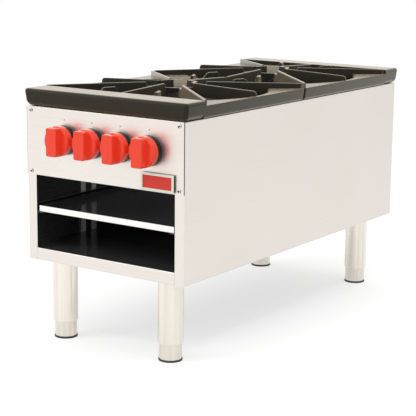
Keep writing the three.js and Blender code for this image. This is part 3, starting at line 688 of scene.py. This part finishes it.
class RANGE_OT_panel_screws(RangeOperator):
    """Pan-head screws with a cross recess, the recess and the head's flanks painted black as shade
    """
    bl_idname = "stockpot.panel_screws"
    bl_label = "Panel Screws"

    def execute(self, context):
        rise, shank, recess, half_slot = mm(2.4, 2, 1.2, 0.95)
        for place in ("upper_left", "upper_right", "lower_left", "lower_right"):
            node = "panel_screw_" + place
            low, high, mid = placed(node)
            centre = Vector((mid.x, low.y, mid.z))
            radius, length = (high.x - low.x) / 2, high.y - low.y
            head = turned([(radius * r, rise * h) for r, h in DOME]
                          + [(shank, rise), (shank, length), (0, length)],
                          centre, "y", 32, closed=False)
            arm = radius * 0.8
            screw = carved(head, *[
                (CUT, block(centre - Vector((wide, OVER, tall)),
                            centre + Vector((wide, recess, tall))))
                for wide, tall in ((arm, half_slot), (half_slot, arm))])
            # The recess floors and every upright face, the recess walls and the head's rim
            # included, take the black bezel finish: painted shade that outlines each screw.
            screw.normal_update()
            for face in screw.faces:
                sunk = face.calc_center_median().y - centre.y > recess - NEAR
                face.material_index = int(sunk and face.normal.y < -FACING
                                          or abs(face.normal.y) < 0.3)
            make_piece("fine_" + node, screw, ["screw steel", "bezel plastic"], [node])
        return {"FINISHED"}


class RANGE_OT_badge(RangeOperator):
    """Bare badge place: a pale rim on a black block painted as the shade behind it, round a plain
    red field
    """
    bl_idname = "stockpot.badge"
    bl_label = "Badge Place"

    def execute(self, context):
        sizes = context.scene.range_sizes
        low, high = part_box("badge_frame")
        field_low, field_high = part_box("badge_face")
        plate, corner, gap, sunk, inset, shade_block_edge = mm(2, 2.2, 0.3, 0.7, 1.2, 0.6)
        field_plate = field_edge = 0.5 * MM
        rim = block(low, (high.x, low.y + plate, high.z))
        soften(rim, corner, 4, where=runs("y"))
        soften(rim, sizes.badge_edge, 3, CREASE, lies("-y", low.y))
        hollow = block((field_low.x - gap, low.y - OVER, field_low.z - gap),
                       (field_high.x + gap, field_low.y + sunk, field_high.z + gap))
        make_piece("badge_rim", carved(rim, (CUT, hollow)), ["badge rim"],
                   ["badge_frame"])
        # A black block behind the rim: painted shade in the gap round the badge.
        shade_block = block((low.x + inset, low.y + plate, low.z + inset),
                        (high.x - inset, high.y, high.z - inset))
        soften(shade_block, shade_block_edge, 2)
        make_piece("badge_backing", shade_block, ["bezel plastic"])
        field = block(field_low, (field_high.x, field_low.y + field_plate, field_high.z))
        soften(field, field_edge, 2, where=lies("-y", field_low.y))
        make_piece("badge_field", field, ["badge field"], ["badge_face"])
        return {"FINISHED"}


class RANGE_OT_knobs(RangeOperator):
    """Control knobs: a round-edged disc with a wide upright grip"""
    bl_idname = "stockpot.knobs"
    bl_label = "Knobs"

    def execute(self, context):
        sizes = context.scene.range_sizes
        disc_depth, grip_half, grip_tall, taper = mm(18.5, 16.3, 33, 1.2)
        lap, back_edge, corner, grip_depth = mm(2, 0.8, 4.5, 5)
        for index in KNOBS:
            low, high, (x, _, z) = placed(f"knob_{index}")
            front = high.y - disc_depth
            disc = drum((high.x - low.x) / 2, (x, front, z), (x, high.y, z), "y", steps=96)
            soften(disc, sizes.knob_rim, 6, CREASE, lies("-y", front))
            soften(disc, back_edge, 2, CREASE, lies("+y", high.y))
            grip = block((x - grip_half, low.y, z - grip_tall),
                         (x + grip_half, front + lap, z + grip_tall))
            for vert in grip.verts:
                if vert.co.y < front:
                    vert.co.x -= math.copysign(taper, vert.co.x - x)
            soften(grip, corner, 5, where=runs("y", grip_depth))
            soften(grip, sizes.knob_grip, 4, where=lies("-y", low.y))
            make_piece(f"moulded_knob_{index}", carved(disc, (JOIN, grip)), ["knob plastic"],
                       [f"knob_{index}"], f"knob_{index}_body")
            refined_copy(f"valve_stem_{index}", ["valve brass"])
        return {"FINISHED"}


class RANGE_OT_bezels(RangeOperator):
    """Black rings behind the knobs"""
    bl_idname = "stockpot.bezels"
    bl_label = "Bezels"

    def execute(self, context):
        bore, rim_edge = mm(6, 1.8)
        for index in KNOBS:
            low, high, mid = placed(f"knob_bezel_{index}")
            radius, depth = (high.x - low.x) / 2, high.y - low.y
            centre = Vector((mid.x, low.y, mid.z))
            ring = turned([(bore, 0), (radius, 0), (radius, depth), (bore, depth)], centre, "y",
                          72)
            in_front = lies("-y", low.y)
            soften(ring, rim_edge, 3, CREASE, lambda e: in_front(e)
                   and (middle(e) - centre).length > radius * 0.9)
            make_piece(f"ring_{index}", ring, ["bezel plastic"], [f"knob_bezel_{index}"])
        return {"FINISHED"}


# ---- top grates
#
# A grate is drawn about the middle of its finned field, with its ledge towards -Y.

GRATE_LOW, GRATE_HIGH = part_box("front_top_grate")
FOOT, TOP = GRATE_LOW.z, GRATE_HIGH.z
HALF = GRATE_HIGH.x  # at the ledge's top edge
LEDGE_DEPTH, DRAFT, END_DRAFT, WALL, PLATE, FIN = mm(73, 5, 3, 8, 8, 8)
FIELD = (GRATE_HIGH.y - GRATE_LOW.y - LEDGE_DEPTH) / 2
FRONT = -FIELD - LEDGE_DEPTH
LEDGE_TOP, RIM_TOP, CORNER_TOP, FINGER_TOP, ROOT_LOW, END_LOW = (
    FOOT + rise for rise in mm(40.7, 29.7, 41.4, 44.7, 15.7, 13.7))
RING_REACH = HALF - 12 * MM  # radius of the round opening under the fins
HUB_FLATS, HUB_WALL, HUB_TALL, HUB_TAPER = mm(96, 7, 21, 3)
HUB_LOW = TOP - 10 * MM  # top of the hub's lower half
HUB_START = HUB_FLATS / 2 - HUB_WALL
OCTAGON = 1 / math.cos(math.pi / 8)  # from an octagon's flats to its corners
HUB_OUTER = HUB_FLATS / 2 * OCTAGON
BORE_RADIUS = HUB_OUTER - HUB_WALL * OCTAGON
AXIS_START, CORNER_START = mm(50, 73)  # where the fins stand at full height
HIGHLIGHT_SIDE = Vector((0.383, -0.924))  # across the flat of the hub whose inner face is painted lighter as a highlight


def down(z):
    """How far down its drafted sides a height lies: 0 at the ledge's top, 1 at the foot."""
    return (LEDGE_TOP - z) / (LEDGE_TOP - FOOT)


def lean(z):
    """How much of its full width a grate has at a height."""
    return 1 - down(z) * DRAFT / HALF


def ledge_front(z):
    return FRONT + END_DRAFT * down(z)


def drafted(low_y, high_y, z_top, grow=0.0):
    """A block of a grate's width whose sides and front lean inwards towards its foot."""
    bm = block((-HALF, low_y, FOOT), (HALF, high_y, z_top))
    for vert in bm.verts:
        vert.co.x *= lean(vert.co.z)
        vert.co.x += math.copysign(grow, vert.co.x)
        if vert.co.y < -FIELD - OVER and vert.co.z < FOOT + OVER:
            vert.co.y += END_DRAFT
    return bm


def draw_under(bm, nose, rise, spread):
    """Draws the lower round of a ledge out to a taller and deeper one.

    The round starts as deep as nose on every edge; spread is how many times deeper it ends.
    """
    slack = 0.01 * MM
    for vert in bm.verts:
        height = vert.co.z - FOOT
        if height > nose + slack:
            continue
        ahead = vert.co.y - ledge_front(vert.co.z)
        aside = HALF * lean(vert.co.z) - abs(vert.co.x)
        grown = 1 + (spread - 1) * (1 - height / nose)
        vert.co.z = FOOT + height * rise / nose
        if aside < nose + slack:
            vert.co.x = math.copysign(HALF * lean(vert.co.z) - aside * grown, vert.co.x)
        if ahead < nose + slack:
            vert.co.y = ledge_front(vert.co.z) + ahead * grown


def grate_shell(sizes):
    """The rim and the ledge, hollow underneath, with the round opening."""
    rim_round, under_round, under_inset, below = mm(6, 12.5, 8, 5)
    edge = sizes.casting_edge
    rim = drafted(-FIELD - OVER, FIELD, RIM_TOP)
    soften(rim, rim_round, 4, where=lambda e: middle(e).y > -FIELD
           and middle(e).z < RIM_TOP - OVER)
    soften(rim, edge, 3, CREASE, lambda e: middle(e).z > RIM_TOP - NEAR
           and middle(e).y > -FIELD, clamp=False)
    ledge = drafted(FRONT, -FIELD, LEDGE_TOP)
    soften(ledge, sizes.ledge_nose, 6, where=lambda e: middle(e).y < -FIELD - OVER)
    draw_under(ledge, sizes.ledge_nose, under_round, 1.6)
    soften(ledge, edge, 3, CREASE, lambda e: middle(e).z > LEDGE_TOP - NEAR
           and middle(e).y > -FIELD - NEAR)
    hollow = HALF - DRAFT - WALL
    inner = hollow - under_inset
    under = block((-hollow, -FIELD, FOOT - below), (hollow, FIELD - WALL, RIM_TOP - PLATE))
    ledge_under = block((-inner, FRONT + END_DRAFT + WALL + under_inset, FOOT - below),
                        (inner, -FIELD - WALL, LEDGE_TOP - PLATE))
    opening = drum(RING_REACH, (0, 0, FOOT - below), (0, 0, RIM_TOP + below), steps=128)
    limits = block((-HALF, -FIELD + WALL, FOOT - below - OVER),
                   (HALF, FIELD - WALL, RIM_TOP + below + OVER))
    opening = carved(opening, (TRIM, limits))
    shell = carved(rim, (JOIN, ledge), (CUT, under), (CUT, ledge_under), (CUT, opening))
    soften(shell, edge * 0.8, 3, CREASE, lambda e: abs(middle(e).z - RIM_TOP) < NEAR / 2
           and middle(e).xy.length < RING_REACH + 2 * NEAR
           and abs(middle(e).y) < FIELD - WALL + NEAR)
    return shell


def hub_drum(radius, over=0.0):
    """An octagonal drum of the hub's height that widens upwards to a radius."""
    return drum(radius - HUB_TAPER * OCTAGON, (0, 0, TOP - HUB_TALL - over), (0, 0, TOP + over),
                top_radius=radius, steps=8)


def fin_plate(edge, degrees, end, crown, rise):
    """A fin from the hub outwards; without a crown height it falls to the rim in a round."""
    shoulder, steps = 8 * MM, 5
    outline = [(HUB_START, ROOT_LOW), (end * 0.62, END_LOW), (end, END_LOW),
               (end, crown or RIM_TOP)]
    if not crown:
        for step in range(steps):
            turn = math.pi / 2 * step / (steps - 1)
            outline.append((end + shoulder * (math.cos(turn) - 1),
                            CORNER_TOP + shoulder * (math.sin(turn) - 1)))
    outline += [(rise, TOP), (rise, HUB_LOW), (HUB_START, HUB_LOW)]
    bm = standing_plate(outline, degrees)
    soften(bm, edge, 3, 55.0, lambda e: middle(e).z > ROOT_LOW + 2 * MM
           or middle(e).xy.length > HUB_START + 4 * MM)
    return bm


def finger(edge, degrees):
    """A short finger that stands on the rim and points at the hub."""
    out = FIELD - 8.25 * MM
    tip = out - 40 * MM
    root = (FIELD - WALL) / math.sin(math.radians(67.5)) + 0.8 * WALL
    low = RIM_TOP - PLATE - 4 * MM
    bm = standing_plate([
        (tip, RIM_TOP - 4 * MM), (out, low), (root, low), (root, RIM_TOP - 1 * MM),
        (out + 8 * MM, RIM_TOP), (out - 4 * MM, FINGER_TOP - 1.5 * MM),
        (out - 9 * MM, FINGER_TOP), (tip + 4 * MM, FINGER_TOP), (tip, FINGER_TOP - 4 * MM)],
        degrees)
    soften(bm, edge, 3, 55.0, lies("+z", RIM_TOP, -1 * MM))
    return bm


def grate_fins(edge):
    """The eight fins and four fingers, trimmed to the casting's sides."""
    inset, corner_over, ledge_over, post = mm(7, 3, 2, 4)
    diagonal, slant = math.hypot(FIELD, HALF), math.degrees(math.atan2(FIELD, HALF))
    corners = [fin_plate(edge, degrees, diagonal + corner_over, CORNER_TOP, CORNER_START)
               for degrees in (slant, 180 - slant, 180 + slant, -slant)]
    within = block((inset - HALF, -FIELD - ledge_over, FOOT), (HALF - inset, FIELD, TOP + OVER))
    parts = [carved(corners[0], *[(JOIN, other) for other in corners[1:]], (TRIM, within))]
    for degrees, end, crown in ((0, HALF - inset, 0), (180, HALF - inset, 0), (90, FIELD, 0),
                                (270, FIELD + ledge_over, LEDGE_TOP)):
        parts.append(fin_plate(edge, degrees, end, crown, AXIS_START))
    parts += [finger(edge, degrees) for degrees in (67.5, 112.5, -67.5, -112.5)]
    envelope = drafted(FRONT + ledge_over, FIELD, TOP + 5 * MM, grow=0.02 * MM)
    upright = runs("z", 5 * MM)
    soften(envelope, post, 3, where=lambda e: upright(e) and middle(e).y > 0)
    return carved(parts[0], *[(JOIN, other) for other in parts[1:]], (TRIM, envelope))


def grate_casting(sizes, low_side):
    """One top grate. Its hub's wall is lower on the -Y side (low_side -1) or the +Y side (1)."""
    shell = grate_shell(sizes)
    lowered = block((-FIELD, min(0, low_side * FIELD), HUB_LOW),
                    (FIELD, max(0, low_side * FIELD), TOP + OVER))
    hub = carved(hub_drum(HUB_OUTER), (CUT, lowered))
    soften(hub, 0.8 * MM, 2, CREASE)
    casting = carved(shell, (JOIN, grate_fins(sizes.casting_edge)), (JOIN, hub),
                     (CUT, hub_drum(BORE_RADIUS, OVER)))
    # Faces of one inner flat of the bore take the lighter hub metal: a painted highlight.
    for face in casting.faces:
        centre = face.calc_center_median()
        face.material_index = int(
            centre.xy.length < BORE_RADIUS and centre.z > TOP - HUB_TALL and face.normal.z > 0
            and face.normal.xy.dot(HIGHLIGHT_SIDE * -low_side) > FACING)
    return casting


class RANGE_OT_grates(RangeOperator):
    """Cast top grates with fins, fingers, hub, rim and ledge"""
    bl_idname = "stockpot.grates"
    bl_label = "Top Grates"

    def execute(self, context):
        sizes = context.scene.range_sizes
        for name, degrees, low_side in (("front", 0, -1), ("rear", 180, 1)):
            low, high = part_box(f"{name}_top_grate")
            casting = grate_casting(sizes, low_side)
            spin(casting, degrees)
            shift(casting, (0, high.y - FIELD if name == "front" else low.y + FIELD, 0))
            make_piece(f"cast_{name}_grate", casting, ["grate enamel", "burnished hub"],
                       [f"{name}_top_grate"], f"{name}_grate", smooth=32.0)
        return {"FINISHED"}


# ---- what the body holds

RING_LOW, RING_HIGH, RING_CHAMFER = mm(535, 556, 5)
TUBE_Z = 521 * MM  # height of the mixing tubes
# Each ring: its kind, inner and outer radius, its tube's x, the neck's radius and its ports.
RINGS = (("outer", *mm(52, 78, -35, 10), 40), ("inner", *mm(18, 38, 24, 8), 20))


def mixing_tube(x, start, end):
    """A mixing tube along Y with its bore and its flared mouth, closed at its far end."""
    bore, tube, flare = mm(9, 13, 18)
    lip, collar, cone, depth = mm(1, 4, 14, 60)
    return turned([(bore, start), (flare - lip, start), (flare, start + lip),
                   (flare, start + collar), (tube, start + cone), (tube, end), (0, end),
                   (0, start + depth), (bore, start + depth)], (x, 0, TUBE_Z), "y", 36)


def support_lug(outer, centre_y, degrees):
    """A lug that joins the inner ring to the outer one."""
    lap, half_width, reach, tall = mm(2, 6, 50.7, 6)
    lug = block((outer - lap, -half_width, RING_LOW), (reach, half_width, RING_LOW + tall))
    soften(lug, 1 * MM, 2)
    spin(lug, degrees)
    shift(lug, (0, centre_y, 0))
    return lug


def port_drills(outer, centre_y, count, radius):
    """Drills at 45 degrees through a ring's outer chamfer."""
    half_length = 6 * MM
    holes = bmesh.new()
    for index in range(count):
        hole = add_drum(holes, radius, (0, 0, -half_length), (0, 0, half_length), steps=8)
        spin(holes, 45, "Y", hole)
        shift(holes, (outer - RING_CHAMFER / 2, 0, RING_HIGH - RING_CHAMFER / 2), hole)
        spin(holes, 360 * index / count, "Z", hole)
        shift(holes, (0, centre_y, 0), hole)
    return holes


class RANGE_OT_burners(RangeOperator):
    """Ring burners with their ports and mixing tubes"""
    bl_idname = "stockpot.burners"
    bl_label = "Burners"

    def execute(self, context):
        sizes = context.scene.range_sizes
        mouth, lap = mm(150, 2)
        for place in ("front", "rear"):
            for kind, inner, outer, tube_x, neck, ports in RINGS:
                centre_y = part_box(f"{place}_outer_burner")[1].y - RINGS[0][2]
                neck_y = centre_y - math.sqrt(((inner + outer) / 2) ** 2 - tube_x ** 2)
                riser = drum(neck, (tube_x, neck_y, TUBE_Z), (tube_x, neck_y, RING_LOW + lap),
                             steps=32)
                stem = mixing_tube(tube_x, centre_y - mouth, neck_y + neck)
                lugs = [(JOIN, support_lug(outer, centre_y, degrees))
                        for degrees in (90, 210, 330) if kind == "inner"]
                ring = turned([(inner, RING_LOW), (outer, RING_LOW),
                               (outer, RING_HIGH - RING_CHAMFER),
                               (outer - RING_CHAMFER, RING_HIGH),
                               (inner + RING_CHAMFER, RING_HIGH),
                               (inner, RING_HIGH - RING_CHAMFER)], (0, centre_y, 0))
                ring = carved(ring, (JOIN, riser), (JOIN, stem), *lugs,
                              (CUT, port_drills(outer, centre_y, ports, sizes.port)))
                make_piece(f"cast_{place}_{kind}_burner", ring, ["burner iron"],
                           [f"{place}_{kind}_burner"], smooth=35.0)
        return {"FINISHED"}


class RANGE_OT_gas_train(RangeOperator):
    """Manifold, valves, inlet pipe, supply tubes and pilots"""
    bl_idname = "stockpot.gas_train"
    bl_label = "Gas Train"

    def execute(self, context):
        refined_copy("gas_manifold", ["pipe black"], 0.8 * MM)
        refined_copy("gas_inlet_pipe", ["pipe black"], 0.5 * MM)
        for index in KNOBS:
            refined_copy(f"gas_valve_{index}", ["valve brass"], 0.6 * MM)
        for name in ("rear_outer_supply", "front_outer_supply", "front_inner_supply",
                     "rear_inner_supply", "front_pilot", "rear_pilot"):
            refined_copy(name + "_tube", ["tube alloy"])
        return {"FINISHED"}


class RANGE_OT_fittings(RangeOperator):
    """Sheet fittings inside the body"""
    bl_idname = "stockpot.fittings"
    bl_label = "Inside Fittings"

    def execute(self, context):
        edge, crown_slack = mm(0.35, 0.6)
        for node in ("left_burner_rail", "right_burner_rail"):
            refined_copy(node, ["plain steel"], edge)
        refined_copy("grate_support_bar", ["plain steel"], edge=edge)
        refined_copy("front_heat_shield", ["cavity sheet"])
        for side, sign in (("left", -1), ("right", 1)):
            refined_copy(f"{side}_tray_runner", ["cavity sheet"], edge=edge)
            low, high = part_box(f"{side}_side_stiffener")
            crown = high.x if sign < 0 else low.x
            # The crown faces take the lighter rib finish, a painted highlight; the rest takes the
            # dark inside sheet, which is painted shade.
            refined_copy(f"{side}_side_stiffener", ["cavity sheet", "bright rib"], edge,
                         lambda face: int(abs(face.calc_center_median().x - crown) < crown_slack))
        return {"FINISHED"}


class RANGE_OT_drip_tray(RangeOperator):
    """Pull-out tray with a bright front lip"""
    bl_idname = "stockpot.drip_tray"
    bl_label = "Drip Tray"

    def execute(self, context):
        sizes = context.scene.range_sizes
        tray = folded_sheet(*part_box("drip_tray"), ["+z"], "-z", 1.5 * MM)
        # The front faces take the bright sheet; every other face takes the dark inside sheet,
        # which is painted shade.
        for face in tray.faces:
            face.material_index = 0 if face.normal.y < -0.5 else 1
        make_piece("folded_drip_tray", tray, ["bright sheet", "cavity sheet", "cavity sheet"],
                   ["drip_tray"], "tray", thickness=sizes.sheet)
        return {"FINISHED"}


class RANGE_OT_legs(RangeOperator):
    """Round legs with their mounting plates, adjustable feet and pads"""
    bl_idname = "stockpot.legs"
    bl_label = "Legs"

    def execute(self, context):
        radius, bore, neck, insert, pad = mm(30, 28.4, 26.8, 26.5, 28)
        lower, collar, plate, pad_top, foot_top = mm(42, 51, 3, 5, 68)
        tube_edge, pad_edge, plate_corner, lap, rim_slack = mm(1.2, 0.9, 3, 0.2, 0.5)
        for corner in CORNERS:
            low, high, mid = placed(f"leg_{corner}")
            centre = Vector((mid.x, mid.y, 0))
            seat = high.z - plate

            def rim(level, outer):
                return lambda e: (middle(e).z < level + NEAR
                                  and (middle(e).xy - centre.xy).length > outer - rim_slack)

            leg = turned([(neck, lower), (radius, lower), (radius, seat), (bore, seat),
                          (bore, collar), (neck, collar)], centre, "z", 72)
            soften(leg, tube_edge, 3, CREASE, rim(lower, radius))
            board = block((low.x, low.y, seat - lap), high)
            soften(board, plate_corner, 3, where=runs("z"))
            make_piece(f"turned_leg_{corner}", carved(leg, (JOIN, board)), ["leg stainless"],
                       [f"leg_{corner}"])
            foot = turned([(0, 0), (pad, 0), (pad, pad_top), (insert, pad_top),
                           (insert, foot_top), (0, foot_top)], centre, "z", 72, closed=False)
            soften(foot, pad_edge, 3, CREASE, rim(pad_top, pad))
            for face in foot.faces:
                face.material_index = int(face.calc_center_median().z < pad_top + NEAR / 2)
            make_piece(f"turned_foot_{corner}", foot, ["foot stainless", "pad rubber"],
                       [f"foot_{corner}"], f"{corner}_foot")
        return {"FINISHED"}


# ---- stage

SKY_SEEN, SKY_LIT = 1.0, 0.80  # strength in the picture and as a light
FLOOR_TONE, FLOOR_GLOW = 0.5, 0.60
# Each lamp: its name, place, aim, size and power.
LAMPS = (("key lamp", (-2.4, -3.4, 2.4), (0, -0.3, 0.4), 2.2, 46),
         ("top lamp", (0.4, 0.2, 3.4), (0, 0, 0.4), 2.6, 18),
         ("glint lamp", (1.5, -2.3, 3.1), (0, -0.4, 0.5), 0.5, 16))
PHOTO_WIDTH, FOCAL_PIXELS, SENSOR = 416, 1351.69, 36.0
CAMERA_ANGLES = (34.4387, 11.7522, 0.6118)  # azimuth, elevation and roll, in degrees
CAMERA_TARGET, CAMERA_DISTANCE = (0.3421, -0.55824, 0.4002), 2.8312


def white_for_viewer(tree):
    """1 for camera, glossy and transmission rays, so that metal shows the pale backdrop too."""
    path = add_node(tree, "LightPath").outputs
    either = link_math(tree, "MAXIMUM", path["Is Camera Ray"], path["Is Glossy Ray"])
    return link_math(tree, "MAXIMUM", either, path["Is Transmission Ray"])


def backdrop():
    world = bpy.data.worlds.new("Studio")
    bpy.context.scene.world = world
    world.use_nodes = True
    tree = world.node_tree
    extra = link_math(tree, "MULTIPLY", white_for_viewer(tree), SKY_SEEN - SKY_LIT)
    background = tree.nodes["Background"].inputs
    background["Color"].default_value = (1.0, 1.0, 1.0, 1.0)
    tree.links.new(link_math(tree, "ADD", extra, SKY_LIT), background["Strength"])


def pale_floor():
    bm = bmesh.new()
    bmesh.ops.create_grid(bm, x_segments=1, y_segments=1, size=14.0)
    floor = mesh_object("floor", bm)
    material = bpy.data.materials.new("pale floor")
    material.use_nodes = True
    tree = material.node_tree
    tree.nodes.remove(tree.nodes["Principled BSDF"])
    glow = link_math(tree, "MULTIPLY", white_for_viewer(tree), FLOOR_GLOW)
    both = add_node(tree, "AddShader")
    for socket, part in zip(both.inputs, (
            add_node(tree, "BsdfDiffuse", Color=(FLOOR_TONE, FLOOR_TONE, FLOOR_TONE, 1.0)),
            add_node(tree, "Emission", Strength=glow))):
        tree.links.new(part.outputs[0], socket)
    tree.links.new(both.outputs[0], tree.nodes["Material Output"].inputs["Surface"])
    floor.data.materials.append(material)


def soft_lamp(name, place, aim, size, power):
    lamp = bpy.data.lights.new(name, "AREA")
    lamp.shape, lamp.size, lamp.energy = "SQUARE", size, power
    obj = linked_object(name, lamp)
    obj.location = place
    obj.rotation_mode = "QUATERNION"
    obj.rotation_quaternion = (Vector(aim) - Vector(place)).to_track_quat("-Z", "Y")


def photo_camera():
    """The camera that was solved from the photograph."""
    data = bpy.data.cameras.new("photo view")
    data.sensor_width = SENSOR
    data.lens = FOCAL_PIXELS * SENSOR / PHOTO_WIDTH
    data.clip_end = 60.0
    camera = linked_object("photo view", data)
    bpy.context.scene.camera = camera
    azimuth, elevation, roll = (math.radians(angle) for angle in CAMERA_ANGLES)
    back = Vector((math.sin(azimuth) * math.cos(elevation),
                   -math.cos(azimuth) * math.cos(elevation), math.sin(elevation)))
    across = Vector((math.cos(azimuth), math.sin(azimuth), 0.0))
    right = across * math.cos(roll) + back.cross(across) * math.sin(roll)
    axes = Matrix((right, back.cross(right), back)).transposed().to_4x4()
    place = Vector(CAMERA_TARGET) + back * CAMERA_DISTANCE
    camera.matrix_world = Matrix.Translation(place) @ axes


class RANGE_OT_stage(RangeOperator):
    """Pale floor, soft studio light and the camera at the photograph's view"""
    bl_idname = "stockpot.stage"
    bl_label = "Stage"

    def execute(self, context):
        context.scene.view_settings.view_transform = "Standard"
        backdrop()
        pale_floor()
        for lamp in LAMPS:
            soft_lamp(*lamp)
        photo_camera()
        return {"FINISHED"}


OPERATORS = RangeOperator.__subclasses__()  # in the order of this file


class RANGE_PT_panel(bpy.types.Panel):
    """Lists the range's colours, sizes and operators"""
    bl_idname = "RANGE_PT_panel"
    bl_label = "Stock Pot Range"
    bl_space_type = "VIEW_3D"
    bl_region_type = "UI"
    bl_category = "Range"

    def draw(self, context):
        for settings in (context.scene.range_colours, context.scene.range_sizes):
            for name in settings.__annotations__:
                self.layout.prop(settings, name)
        for operator in OPERATORS:
            self.layout.operator(operator.bl_idname)


CLASSES = (RangeColours, RangeSizes, *OPERATORS, RANGE_PT_panel)


def register():
    for item in CLASSES:
        bpy.utils.register_class(item)
    bpy.types.Scene.range_colours = PointerProperty(type=RangeColours)
    bpy.types.Scene.range_sizes = PointerProperty(type=RangeSizes)


def unregister():
    del bpy.types.Scene.range_sizes
    del bpy.types.Scene.range_colours
    for item in reversed(CLASSES):
        bpy.utils.unregister_class(item)


def main():
    register()
    for operator in OPERATORS:
        family, action = operator.bl_idname.split(".")
        getattr(getattr(bpy.ops, family), action)()
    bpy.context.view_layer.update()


if __name__ == "__main__":
    main()
